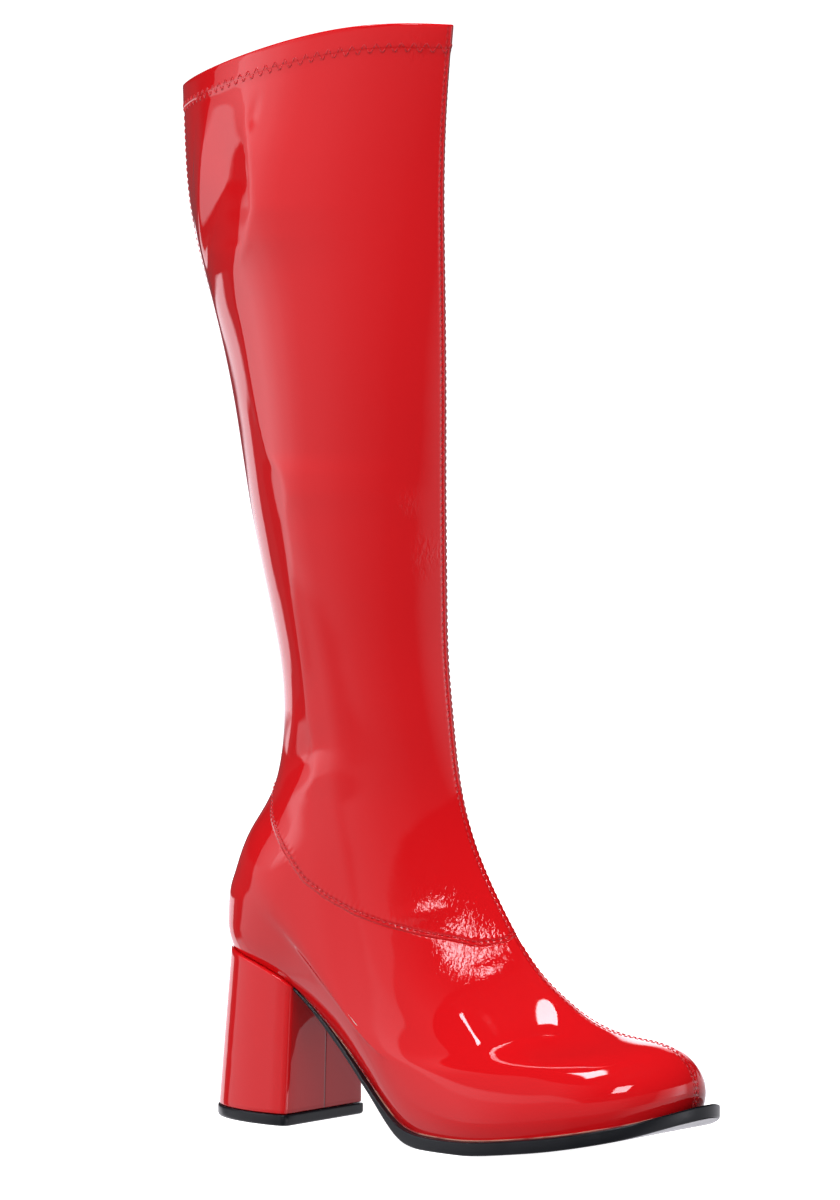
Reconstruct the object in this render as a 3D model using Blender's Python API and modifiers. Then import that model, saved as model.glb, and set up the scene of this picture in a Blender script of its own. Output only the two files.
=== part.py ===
"""Knee-high go-go boot for the right foot: a patent upper on a block heel.

The frame: +X to the toe, +Y to the inner side of the leg, +Z up, in metres.
The origin is on the floor, under the middle of the heel.
"""

import math

import bmesh
import bpy
import numpy as np

# Driving sizes of the boot
FOOT_LENGTH = 0.249
BALL_WIDTH = 0.085
HEEL_HEIGHT = 0.0775
ANKLE_RISE = 0.1125
SHAFT_RISE = 0.273
COLLAR_TILT = 0.0222
COLLAR_DEPTH = 0.157
SHAFT_WIDTH = 0.080
HEEL_POINT = -0.024
SHIN_LINE = 0.0935
CROWN_PLACE = 2.2

# Upper
WALL = 0.0016
HEM_HEIGHT = 0.012
HEM_STEP = 0.0006
HEM_RAMP = 0.0012

# Outsole
SOLE_THICKNESS = 0.0063
ARCH_THICKNESS = 0.0028
BREAST_THICKNESS = 0.0016
TOE_SPRING = 0.0160
SIDE_FLANGE = 0.0034
TOE_FLANGE = 0.0072
SOLE_EDGE_ROUND = 0.0010

# Heel block, its top piece and the insole
BREAST_LINE = 0.0252
BREAST_SLOPE = 0.0016
HEEL_BACK = 0.0312
HEEL_WIDTH = 0.0568
HEEL_SEAT_WIDTH = 0.0530
HEEL_CORNER = 0.0030
WIDEST_PLACE = 0.18
BREAST_CORNER_SHARE = 0.975
HEEL_FULLNESS = 2.2
LIFT_THICKNESS = 0.0050
LIFT_OVERHANG = 0.0006
INSOLE_THICKNESS = 0.0020
GAP = 0.0003
INSOLE_GAP = 0.0006

# How finely the solids are cut into faces
SECTION_STEPS = 35
SIDE_STEPS = 28
OUTLINE_SAMPLES = 400
SOLE_STEPS = 34
CROWDING = 0.55
TOE_CROWDING = 1.4
HEEL_LEVELS = 8
HEEL_CORNER_STEPS = 3
HEEL_FLANK_STEPS = 3
HEEL_ROUND_STEPS = 10

# The bottom of the last: how far along the foot, what share of the heel's height is left
# there, and what share of the toe spring is reached.
LAST_BOTTOM_COLUMNS = ("along", "heel", "spring")
LAST_BOTTOM = (
    (0.000, 1.000, 0.00),
    (0.096, 0.930, 0.00),
    (0.177, 0.831, 0.00),
    (0.257, 0.656, 0.00),
    (0.337, 0.446, 0.00),
    (0.418, 0.222, 0.00),
    (0.498, 0.040, 0.00),
    (0.578, -0.002, 0.00),
    (0.659, 0.000, 0.00),
    (0.739, 0.000, 0.12),
    (0.819, 0.000, 0.29),
    (0.900, 0.000, 0.53),
    (0.956, 0.000, 0.75),
    (1.000, 0.000, 1.00),
)

# The middle line of the foot swings outwards at the arch and inwards at the toe.
SWING_COLUMNS = ("along", "aside")
SWING = (
    (0.00, 0.000),
    (0.30, -0.020),
    (0.62, -0.008),
    (0.85, 0.025),
    (1.00, 0.045),
)

# Places along a section where its half-widths are given
WIDTH_PLACES = (0.0, 0.30, 0.62, 1.0)

# Sections of the foot, from the feather line up to the ankle. Back and front are shares of the
# foot's length, their rises are shares of the ankle's and the instep's rise, and the four
# half-widths are shares of the ball's width. Sag is how much of the last's bottom curve is
# left. The caps are the shares of the section that its rounded ends take, square is how full
# they are, and the ridges are how far each end comes to a point at its seam.
FOOT_COLUMNS = (
    "back", "back_rise", "front", "front_rise", "heel", "waist", "ball", "toe",
    "sag", "cap_back", "cap_front", "square", "ridge_back", "ridge_front",
)  # fmt: skip
FOOT_SECTIONS = (
    (0.000, 0.000, 1.000, 0.000, 0.318, 0.290, 0.508, 0.30, 1.00, 0.19, 0.15, 2.1, 0.00, 0.00),
    (-0.008, 0.058, 1.009, 0.036, 0.337, 0.325, 0.525, 0.30, 1.00, 0.19, 0.16, 2.1, 0.00, 0.00),
    (-0.010, 0.129, 1.004, 0.086, 0.348, 0.360, 0.526, 0.30, 0.99, 0.20, 0.17, 2.1, 0.03, 0.00),
    (-0.008, 0.209, 0.965, 0.146, 0.350, 0.385, 0.505, 0.28, 0.97, 0.21, 0.20, 2.1, 0.06, 0.05),
    (0.001, 0.289, 0.864, 0.172, 0.345, 0.400, 0.475, 0.26, 0.92, 0.22, 0.26, 2.0, 0.10, 0.16),
    (0.016, 0.378, 0.760, 0.224, 0.335, 0.405, 0.438, 0.25, 0.82, 0.24, 0.34, 2.0, 0.15, 0.42),
    (0.038, 0.475, 0.669, 0.326, 0.322, 0.400, 0.405, 0.27, 0.66, 0.28, 0.40, 2.0, 0.20, 0.66),
    (0.072, 0.582, 0.595, 0.472, 0.315, 0.390, 0.375, 0.30, 0.45, 0.34, 0.45, 2.0, 0.28, 0.84),
    (0.096, 0.698, 0.538, 0.624, 0.320, 0.375, 0.365, 0.32, 0.25, 0.40, 0.48, 2.0, 0.38, 0.92),
    (0.107, 0.840, 0.503, 0.785, 0.340, 0.370, 0.360, 0.34, 0.10, 0.46, 0.50, 2.0, 0.50, 0.95),
    (0.107, 1.000, 0.487, 0.952, 0.365, 0.365, 0.365, 0.36, 0.02, 0.50, 0.50, 2.0, 0.62, 0.96),
)

# Sections of the shaft, up to the collar. Back and front are measured from the shin line as
# shares of the collar's depth, the rise is a share of the shaft's, the tilt is the share of the
# collar's tilt, the half-width is a share of the shaft's width, and the crown lifts the middle
# of the section by a share of the collar's depth.
SHAFT_COLUMNS = (
    "back", "front", "rise", "tilt", "half_width", "crown", "ridge_back", "ridge_front",
)  # fmt: skip
SHAFT_SECTIONS = (
    (-0.596, 0.007, 0.066, -0.05, 0.400, 0.000, 0.72, 0.97),
    (-0.645, 0.000, 0.168, 0.12, 0.425, 0.000, 0.82, 0.97),
    (-0.714, -0.003, 0.311, 0.24, 0.450, 0.000, 0.88, 0.97),
    (-0.772, -0.003, 0.469, 0.36, 0.472, 0.000, 0.90, 0.97),
    (-0.854, -0.006, 0.634, 0.44, 0.480, 0.004, 0.90, 0.97),
    (-0.943, -0.008, 0.799, 0.58, 0.470, 0.012, 0.90, 0.97),
    (-0.964, 0.002, 0.901, 0.78, 0.440, 0.020, 0.90, 0.97),
    (-0.972, 0.022, 1.000, 1.00, 0.405, 0.030, 0.90, 0.97),
)

OUTER_SIDE, INNER_SIDE = -1, 1


def natural_spline(knots, values):
    """A smooth curve through values at the knots, straight past its ends."""
    knots = np.asarray(knots, float)
    values = np.asarray(values, float)
    count = len(knots)
    steps = np.diff(knots)
    slopes = np.diff(values, axis=0) / steps.reshape(-1, *[1] * (values.ndim - 1))
    system = np.eye(count)
    right = np.zeros_like(values)
    for i in range(1, count - 1):
        system[i, i - 1 : i + 2] = steps[i - 1], 2 * (steps[i - 1] + steps[i]), steps[i]
        right[i] = 6 * (slopes[i] - slopes[i - 1])
    bends = np.linalg.solve(system, right)

    def curve(at):
        at = np.atleast_1d(np.asarray(at, float))
        inside = np.clip(at, knots[0], knots[-1])
        i = np.clip(np.searchsorted(knots, inside) - 1, 0, count - 2)
        shape = (-1, *[1] * (values.ndim - 1))
        step = steps[i].reshape(shape)
        left = (inside - knots[i]).reshape(shape)
        past = (at - inside).reshape(shape)
        slope = slopes[i] - step * (2 * bends[i] + bends[i + 1]) / 6
        cubic = (bends[i + 1] - bends[i]) / (6 * step)
        value = values[i] + left * (slope + left * (bends[i] / 2 + left * cubic))
        gradient = slope + left * (bends[i] + 3 * left * cubic)
        return value + past * gradient

    return curve


def columns_of(names, rows):
    """A table's columns by name."""
    return dict(zip(names, np.array(rows, float).T))


def last_bottom_height(x):
    """Height of the feather line above the floor at each x."""
    rows = columns_of(LAST_BOTTOM_COLUMNS, LAST_BOTTOM)
    seat = rows["heel"] * (HEEL_HEIGHT - SOLE_THICKNESS)
    height = SOLE_THICKNESS + seat + rows["spring"] * TOE_SPRING
    return natural_spline(rows["along"], height)((x - HEEL_POINT) / FOOT_LENGTH)


def middle_line(along):
    """How far the foot's middle line lies to the inner side."""
    rows = columns_of(SWING_COLUMNS, SWING)
    return natural_spline(rows["along"], rows["aside"])(along) * BALL_WIDTH


def end_cap(share, length, square, ridge):
    """Width left near a section's end: a rounded end, with some of a seam's sharp ridge."""
    q = np.clip(1 - share / length, 0, 1)
    rounded = (1 - q**square) ** (1 / square)
    return (1 - ridge) * rounded + ridge * (1 - q**2)


def section_table():
    """Every section in the boot's own sizes, one array a column, foot first."""
    foot = columns_of(FOOT_COLUMNS, FOOT_SECTIONS)
    shaft = columns_of(SHAFT_COLUMNS, SHAFT_SECTIONS)
    ankle = HEEL_HEIGHT + ANKLE_RISE
    toe = SOLE_THICKNESS + TOE_SPRING
    shaft_width = shaft["half_width"] * SHAFT_WIDTH
    plain = np.ones(len(SHAFT_SECTIONS))

    def joined(foot_values, shaft_values):
        return np.concatenate([foot_values, shaft_values])

    shaft_height = ankle + shaft["rise"] * SHAFT_RISE
    return {
        "back_x": joined(
            HEEL_POINT + foot["back"] * FOOT_LENGTH, SHIN_LINE + shaft["back"] * COLLAR_DEPTH
        ),
        "back_z": joined(HEEL_HEIGHT + foot["back_rise"] * ANKLE_RISE, shaft_height),
        "front_x": joined(
            HEEL_POINT + foot["front"] * FOOT_LENGTH, SHIN_LINE + shaft["front"] * COLLAR_DEPTH
        ),
        "front_z": joined(
            toe + foot["front_rise"] * (ankle - toe), shaft_height + shaft["tilt"] * COLLAR_TILT
        ),
        "heel": joined(foot["heel"] * BALL_WIDTH, shaft_width),
        "waist": joined(foot["waist"] * BALL_WIDTH, shaft_width),
        "ball": joined(foot["ball"] * BALL_WIDTH, shaft_width),
        "toe": joined(foot["toe"] * BALL_WIDTH, shaft_width),
        "sag": joined(foot["sag"], 0 * plain),
        "crown": joined(np.zeros(len(FOOT_SECTIONS)), shaft["crown"]),
        "cap_back": joined(foot["cap_back"], 0.5 * plain),
        "cap_front": joined(foot["cap_front"], 0.5 * plain),
        "square": joined(foot["square"], 2 * plain),
        "ridge_back": joined(foot["ridge_back"], shaft["ridge_back"]),
        "ridge_front": joined(foot["ridge_front"], shaft["ridge_front"]),
        "swing": joined(1 - np.linspace(0, 1, len(FOOT_SECTIONS)) ** 0.8, 0 * plain),
    }


def section_spline():
    """The sections as one smooth function of the climb from the feather line, and the top of it."""
    table = section_table()
    names = list(table)
    rows = np.stack([table[name] for name in names], axis=1)
    back = np.hypot(np.diff(table["back_x"]), np.diff(table["back_z"]))
    front = np.hypot(np.diff(table["front_x"]), np.diff(table["front_z"]))
    climb = np.concatenate([[0], np.cumsum((back + front) / 2)])
    curve = natural_spline(climb, rows)
    return lambda up: dict(zip(names, curve(up)[0])), climb[-1]


def section_side(section, side, inset=0.0):
    """Points of one side of a section, from the back seam round to the front seam."""
    turn = np.linspace(0, math.pi, OUTLINE_SAMPLES)
    along = (1 - np.cos(turn)) / 2
    widths = [section[name] for name in ("heel", "waist", "ball", "toe")]
    half = natural_spline(WIDTH_PLACES, widths)(along)
    back_cap = end_cap(along, section["cap_back"], section["square"], section["ridge_back"])
    front_cap = end_cap(1 - along, section["cap_front"], section["square"], section["ridge_front"])
    straight = HEEL_POINT + FOOT_LENGTH * along
    ends = last_bottom_height(np.array([HEEL_POINT, HEEL_POINT + FOOT_LENGTH]))
    arch = ends[0] + (ends[1] - ends[0]) * along - last_bottom_height(straight)
    x = section["back_x"] + (section["front_x"] - section["back_x"]) * along
    z = section["back_z"] + (section["front_z"] - section["back_z"]) * along
    z += section["crown"] * COLLAR_DEPTH * np.sin(math.pi * along**CROWN_PLACE)
    y = side * (half * back_cap * front_cap) + section["swing"] * middle_line(along)
    points = np.stack([x, y, z - section["sag"] * arch], axis=1)
    if inset:
        points = inset_outline(points, side, inset)
    return points


def inset_outline(points, side, inset):
    """An outline moved inwards in plan, its two ends kept on the middle line."""
    run = np.gradient(points[:, :2], axis=0)
    run /= np.maximum(np.linalg.norm(run, axis=1, keepdims=True), 1e-9)
    inward = np.stack([run[:, 1], -run[:, 0]], axis=1) * side
    inward[0], inward[-1] = (1, 0), (-1, 0)
    moved = points.copy()
    moved[:, :2] += inward * np.broadcast_to(inset, len(points))[:, None]
    return moved


def spread(points, count):
    """The same line at count + 1 points, closer together where it rounds its two ends."""
    lengths = np.linalg.norm(np.diff(points, axis=0), axis=1)
    travel = np.concatenate([[0], np.cumsum(lengths)])
    even = np.linspace(0, 1, count + 1)
    crowded = (1 - np.cos(math.pi * even)) / 2
    wanted = travel[-1] * (even + CROWDING * (crowded - even))
    return np.stack([np.interp(wanted, travel, points[:, k]) for k in range(3)], axis=1)


def upper_ring(spline, up):
    """One closed ring of the upper: outer side from the back to the front, then inner side."""
    section = spline(up)
    outer = spread(section_side(section, OUTER_SIDE), SIDE_STEPS)
    inner = spread(section_side(section, INNER_SIDE), SIDE_STEPS)
    return np.concatenate([outer, inner[-2:0:-1]])


def upper_levels(top):
    """The climbs at which the upper gets a ring, closer together at the toe and at the hem's step."""
    hem = top - HEM_HEIGHT
    even = np.linspace(0, 1, SECTION_STEPS - 1)
    return [*((hem - HEM_RAMP) * even**TOE_CROWDING), hem, top], hem


def ring_mesh(name, rings, closed):
    """A mesh from rings of points, with quads between them; closed makes each ring a loop."""
    mesh = bmesh.new()
    rows = [[mesh.verts.new(point) for point in ring] for ring in rings]
    count = len(rows[0])
    for low, high in zip(rows, rows[1:]):
        for i in range(count if closed else count - 1):
            j = (i + 1) % count
            mesh.faces.new((low[i], low[j], high[j], high[i]))
    return finished(name, mesh)


def finished(name, mesh):
    """A bmesh as an object, its faces turned out."""
    bmesh.ops.recalc_face_normals(mesh, faces=mesh.faces)
    data = bpy.data.meshes.new(name)
    mesh.to_mesh(data)
    mesh.free()
    return bpy.data.objects.new(name, data)


def make_upper():
    """Foot and shaft in one skin, given its wall inwards; the hem is a step in the wall."""
    spline, top = section_spline()
    levels, hem = upper_levels(top)
    rings = np.array([upper_ring(spline, up) for up in levels])
    middle = rings.mean(axis=1, keepdims=True)
    away = rings - middle
    away[..., 2] = 0
    away /= np.linalg.norm(away, axis=2, keepdims=True)
    in_hem = np.array([up >= hem for up in levels])
    rings[in_hem] += away[in_hem] * HEM_STEP
    upper = ring_mesh("upper", rings, closed=True)
    for polygon in upper.data.polygons:
        polygon.use_smooth = True
    group = upper.vertex_groups.new(name="wall")
    per_ring = rings.shape[1]
    body_share = WALL / (WALL + HEM_STEP)
    for level, folded in enumerate(in_hem):
        ring = list(range(level * per_ring, (level + 1) * per_ring))
        group.add(ring, 1.0 if folded else body_share, "REPLACE")
    shell = upper.modifiers.new("wall", "SOLIDIFY")
    shell.thickness = WALL + HEM_STEP
    shell.offset = -1
    shell.vertex_group = group.name
    shell.use_even_offset = False
    shell.use_quality_normals = True
    return upper


def sole_outline(side, tuck):
    """One side of the sole's outline in plan, from the breast line to the toe."""
    spline, top = section_spline()
    line = section_side(spline(0.0), side)
    along = (line[:, 0] - HEEL_POINT) / FOOT_LENGTH
    to_toe = np.clip((along - 0.75) / 0.2, 0, 1)
    flange = SIDE_FLANGE + (TOE_FLANGE - SIDE_FLANGE) * to_toe
    flange *= np.clip((along - 0.15) / 0.25, 0, 1)
    line = inset_outline(line, side, tuck - flange)
    start = BREAST_LINE + GAP
    keep = line[:, 0] > start
    first = [[np.interp(start, line[:, 0], line[:, k]) for k in range(3)]]
    return spread(np.concatenate([first, line[keep]]), SOLE_STEPS)


def sole_thickness(x):
    """Thickness of the outsole: thin at the breast and the arch, full from the ball to the toe."""
    along = (x - HEEL_POINT) / FOOT_LENGTH
    to_arch = np.clip((along - 0.2) / 0.1, 0, 1)
    thin = BREAST_THICKNESS + (ARCH_THICKNESS - BREAST_THICKNESS) * to_arch
    full = np.clip((along - 0.40) / 0.12, 0, 1)
    full = full * full * (3 - 2 * full)
    return thin + (SOLE_THICKNESS - GAP - thin) * full


def strip_solid(name, loops):
    """A closed solid from stacked outlines: sides between them, and filled top and bottom.

    Each loop is a pair of lines, outer side and inner side, that share their last point.
    """
    mesh = bmesh.new()
    rows = []
    for outer, inner in loops:
        points = list(outer) + list(inner[-2::-1])
        rows.append([mesh.verts.new(point) for point in points])
    count = len(rows[0])
    for low, high in zip(rows, rows[1:]):
        for i in range(count):
            j = (i + 1) % count
            mesh.faces.new((low[i], low[j], high[j], high[i]))
    steps = (count - 1) // 2
    for row in (rows[0], rows[-1]):
        fill_between(mesh, row, steps)
    bmesh.ops.remove_doubles(mesh, verts=mesh.verts, dist=1e-6)
    return finished(name, mesh)


def fill_between(mesh, row, steps):
    """Fills an outline with bars that run straight across, from its outer to its inner side."""
    bars = []
    for i in range(steps):
        left, right = row[i], row[2 * steps - i]
        middle = mesh.verts.new(left.co.lerp(right.co, 0.5))
        bars.append([left, middle, right])
    for bar, following in zip(bars, bars[1:]):
        mesh.faces.new((bar[0], bar[1], following[1], following[0]))
        mesh.faces.new((bar[1], bar[2], following[2], following[1]))
    tip = row[steps]
    mesh.faces.new((bars[-1][0], bars[-1][1], tip))
    mesh.faces.new((bars[-1][1], bars[-1][2], tip))
    mesh.faces.new(bars[0])


def at_height(line, height):
    """A line with its heights replaced."""
    moved = line.copy()
    moved[:, 2] = height
    return moved


def make_outsole():
    """Outsole from the heel breast to the toe, its edge a flange round the upper."""
    loops = []
    for tuck, share in ((0.0, 0.0), (0.0, 0.75), (SOLE_EDGE_ROUND, 1.0)):
        pair = []
        for side in (OUTER_SIDE, INNER_SIDE):
            line = sole_outline(side, tuck)
            top = last_bottom_height(line[:, 0]) - GAP
            under = np.maximum(top - sole_thickness(line[:, 0]), 0)
            pair.append(at_height(line, top + share * (under - top)))
        loops.append(pair)
    return strip_solid("outsole", loops)


def make_insole():
    """Insole board with its sock, inside the upper, on the outsole and the heel seat."""
    spline, top = section_spline()
    section = spline(0.0)
    inset = WALL + INSOLE_GAP
    loops = []
    for lift in (0.0, INSOLE_THICKNESS):
        pair = []
        for side in (OUTER_SIDE, INNER_SIDE):
            line = spread(section_side(section, side, inset), SOLE_STEPS)
            pair.append(at_height(line, last_bottom_height(line[:, 0]) + GAP + lift))
        loops.append(pair)
    return strip_solid("insole", loops)


def heel_plan(side, share_down, grow=0.0):
    """One side of the heel in plan, from the middle of the breast round to the back.

    share_down is 0 at the seat and 1 at the floor, where the heel is at its widest.
    """
    front = BREAST_LINE - BREAST_SLOPE * share_down + grow
    back = HEEL_POINT - (HEEL_POINT + HEEL_BACK) * share_down - grow
    half = (HEEL_SEAT_WIDTH + (HEEL_WIDTH - HEEL_SEAT_WIDTH) * share_down) / 2 + grow
    widest = front - WIDEST_PLACE * (front - back)
    corner = np.linspace(0, math.pi / 2, HEEL_CORNER_STEPS + 1)
    corner_x = front - HEEL_CORNER * (1 - np.cos(corner))
    corner_y = half * BREAST_CORNER_SHARE - HEEL_CORNER * (1 - np.sin(corner))
    flank = np.linspace(0, 1, HEEL_FLANK_STEPS + 1)[1:]
    flank_x = front - HEEL_CORNER - (front - HEEL_CORNER - widest) * flank
    flank_y = half * (BREAST_CORNER_SHARE + (1 - BREAST_CORNER_SHARE) * np.sin(flank * math.pi / 2))
    turn = np.linspace(0, math.pi / 2, HEEL_ROUND_STEPS + 1)[1:]
    turn_x = widest - (widest - back) * np.sin(turn) ** (2 / HEEL_FULLNESS)
    turn_y = half * np.maximum(np.cos(turn), 0) ** (2 / HEEL_FULLNESS)
    x = np.concatenate([[front], corner_x, flank_x, turn_x])
    y = np.concatenate([[0.0], corner_y, flank_y, turn_y])
    y[-1] = 0.0
    return np.stack([x, side * y, np.zeros_like(x)], axis=1)


def make_heel_block():
    """Covered block heel: its top is the heel seat, and it flares to the floor."""
    bottom = LIFT_THICKNESS + GAP
    mesh = bmesh.new()
    rows = []
    for level in range(HEEL_LEVELS + 1):
        share_down = level / HEEL_LEVELS
        row = []
        for side in (OUTER_SIDE, INNER_SIDE):
            line = heel_plan(side, share_down)
            seat = last_bottom_height(line[:, 0]) - GAP
            line[:, 2] = seat + (bottom - seat) * share_down
            row.append(line)
        outline = list(row[0]) + list(row[1][-2:0:-1])
        rows.append([mesh.verts.new(point) for point in outline])
    return closed_heel("heel_block", mesh, rows)


def closed_heel(name, mesh, rows):
    """Sides between the rows of a heel, and bars across its top and bottom."""
    count = len(rows[0])
    for low, high in zip(rows, rows[1:]):
        for i in range(count):
            j = (i + 1) % count
            mesh.faces.new((low[i], low[j], high[j], high[i]))
    half = count // 2
    for row in (rows[0], rows[-1]):
        for i in range(half):
            pair = (row[i], row[i + 1], row[(count - i - 1) % count], row[(count - i) % count])
            corners = list(dict.fromkeys(pair))
            if len(corners) > 2:
                mesh.faces.new(corners)
    return finished(name, mesh)


def make_heel_lift():
    """Top piece under the heel, flat on the floor."""
    mesh = bmesh.new()
    rows = []
    for height, grow in ((LIFT_THICKNESS, LIFT_OVERHANG), (0.0, LIFT_OVERHANG * 0.4)):
        lines = [heel_plan(side, 1.0, grow) for side in (OUTER_SIDE, INNER_SIDE)]
        outline = list(lines[0]) + list(lines[1][-2:0:-1])
        rows.append([mesh.verts.new((point[0], point[1], height)) for point in outline])
    return closed_heel("heel_lift", mesh, rows)


def material(name, colour, roughness, metallic=0.0, coat=0.0):
    """A Principled material of one plain colour."""
    made = bpy.data.materials.new(name)
    made.use_nodes = True
    shader = made.node_tree.nodes["Principled BSDF"]
    shader.inputs["Base Color"].default_value = (*colour, 1)
    shader.inputs["Roughness"].default_value = roughness
    shader.inputs["Metallic"].default_value = metallic
    shader.inputs["Coat Weight"].default_value = coat
    made.diffuse_color = (*colour, 1)
    return made


def main():
    for obj in list(bpy.data.objects):
        bpy.data.objects.remove(obj)
    boot = bpy.data.collections.new("go_go_boot")
    bpy.context.scene.collection.children.link(boot)
    patent = material("red_patent", (0.62, 0.012, 0.016), 0.08, coat=1.0)
    rubber = material("black_sole", (0.014, 0.016, 0.018), 0.35)
    lining = material("pale_lining", (0.62, 0.55, 0.52), 0.8)
    pieces = (
        (make_upper(), patent),
        (make_outsole(), rubber),
        (make_heel_block(), patent),
        (make_heel_lift(), rubber),
        (make_insole(), lining),
    )
    for piece, finish in pieces:
        piece.data.materials.append(finish)
        boot.objects.link(piece)


main()
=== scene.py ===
import math

import bmesh
import bpy
import numpy as np
from mathutils import Matrix, Vector


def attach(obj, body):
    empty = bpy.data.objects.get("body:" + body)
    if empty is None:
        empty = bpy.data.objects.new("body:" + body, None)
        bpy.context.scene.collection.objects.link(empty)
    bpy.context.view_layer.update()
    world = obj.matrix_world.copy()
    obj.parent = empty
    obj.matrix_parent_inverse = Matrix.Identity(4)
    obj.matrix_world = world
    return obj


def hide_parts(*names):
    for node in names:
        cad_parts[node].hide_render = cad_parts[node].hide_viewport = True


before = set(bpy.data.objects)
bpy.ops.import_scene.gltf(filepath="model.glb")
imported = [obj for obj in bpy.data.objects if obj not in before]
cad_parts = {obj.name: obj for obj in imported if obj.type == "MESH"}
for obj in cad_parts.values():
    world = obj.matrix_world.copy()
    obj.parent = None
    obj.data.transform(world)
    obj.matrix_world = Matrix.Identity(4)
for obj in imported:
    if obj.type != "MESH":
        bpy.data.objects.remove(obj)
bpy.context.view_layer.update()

# Sizes of the boot, in metres
FOOT_LENGTH = 0.249
BALL_WIDTH = 0.085
HEEL_HEIGHT = 0.0775
ANKLE_RISE = 0.1125
SHAFT_RISE = 0.273
COLLAR_TILT = 0.0222
COLLAR_DEPTH = 0.157
SHAFT_WIDTH = 0.080
HEEL_POINT = -0.024
SHIN_LINE = 0.0935
CROWN_PLACE = 2.2
WALL = 0.0016
SOLE_THICKNESS = 0.0063
ARCH_THICKNESS = 0.0028
BREAST_THICKNESS = 0.0016
TOE_SPRING = 0.0160
SIDE_FLANGE = 0.0034
TOE_FLANGE = 0.0072
BREAST_LINE = 0.0252
BREAST_SLOPE = 0.0016
HEEL_BACK = 0.0312
HEEL_WIDTH = 0.0568
HEEL_SEAT_WIDTH = 0.0530
HEEL_CORNER = 0.0030
WIDEST_PLACE = 0.18
BREAST_CORNER_SHARE = 0.975
HEEL_FULLNESS = 2.2
LIFT_THICKNESS = 0.0050
LIFT_OVERHANG = 0.0006
LIFT_EDGE = (
    (0.0, -0.0002), (0.0004, LIFT_OVERHANG * 0.6), (0.0012, LIFT_OVERHANG),
    (0.0042, LIFT_OVERHANG), (0.0048, 0.0004), (LIFT_THICKNESS, 0.0),
)  # fmt: skip
INSOLE_THICKNESS = 0.0020
GAP = 0.0003
CROWDING = 0.55
ROW_CROWDING = 1.15

# Finer work that only the visual model has
HEM_LINE = 0.0098
HEM_FOLD = 0.0004
LIP_ROUND = 0.0008
LIP_DROP = 0.010
STITCH_PITCH = 0.0029
STITCH_LENGTH = 0.0021
STITCH_WIDTH = 0.00068
ZIGZAG_PITCH = 0.0054
ZIGZAG_HEIGHT = 0.0046
ZIGZAG_STITCHES = ((0.03, 0.47), (0.53, 0.97))
RIB_PITCH = 0.0011
PLY_PITCH = 0.0005
TOE_SEAM_APART = 0.0025
SHAFT_SEAM_APART = 0.0036
VAMP_ROW = 0.0016
SKIN_TUCK = 0.0025
LINING_DROP = 0.004
SOCK_EASE = 0.0006
BEAD_RADIUS = 0.00042
SOLE_ROUND = 0.0009
HEEL_ROUND = 0.0006
SOCK_ROUND = 0.0005

# How high or deep the marks in the patent's surface are
LAP_STEP = 0.00045
VAMP_ROW_DIP = 0.00028
VAMP_LINE_DIP = 0.00020
PUCKER_DIP = 0.00006
TOE_LINE_DIP = 0.00040
TOE_ROW_DIP = 0.00022
SHAFT_LINE_DIP = 0.00035
SHAFT_ROW_DIP = 0.00018
HEM_STEP = 0.00012
BREAST_SEAM_DIP = 0.00012
GRAIN_DEPTH = 0.000010
SKIN_WAVE = 0.00014
COVER_WAVE = 0.00016

# How finely the pieces are cut
SKIN_ROWS = 262
SKIN_COLUMNS = 118
LINING_ROWS = 110
LINING_COLUMNS = 44
SOLE_STEPS = 120
SOLE_BARS = 16
SOCK_STEPS = 90
SOCK_BARS = 14
BEAD_STEPS = 150
LIP_STEPS = 6
BREAST_STEPS = 5
CORNER_STEPS = 6
FLANK_STEPS = 5
ROUND_STEPS = 30
HEEL_LEVELS = 25
SEARCH_COLUMNS = 24
SAMPLES = 400

LAST_BOTTOM_COLUMNS = ("along", "heel", "spring")
LAST_BOTTOM = (
    (0.000, 1.000, 0.00), (0.096, 0.930, 0.00), (0.177, 0.831, 0.00), (0.257, 0.656, 0.00),
    (0.337, 0.446, 0.00), (0.418, 0.222, 0.00), (0.498, 0.040, 0.00), (0.578, -0.002, 0.00),
    (0.659, 0.000, 0.00), (0.739, 0.000, 0.12), (0.819, 0.000, 0.29), (0.900, 0.000, 0.53),
    (0.956, 0.000, 0.75), (1.000, 0.000, 1.00),
)  # fmt: skip
SWING_COLUMNS = ("along", "aside")
SWING = ((0.00, 0.000), (0.30, -0.020), (0.62, -0.008), (0.85, 0.025), (1.00, 0.045))
WIDTH_NAMES = ("heel", "waist", "ball", "toe")
WIDTH_PLACES = (0.0, 0.30, 0.62, 1.0)
FOOT_COLUMNS = (
    "back", "back_rise", "front", "front_rise", "heel", "waist", "ball", "toe",
    "sag", "cap_back", "cap_front", "square", "ridge_back", "ridge_front",
)  # fmt: skip
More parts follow.
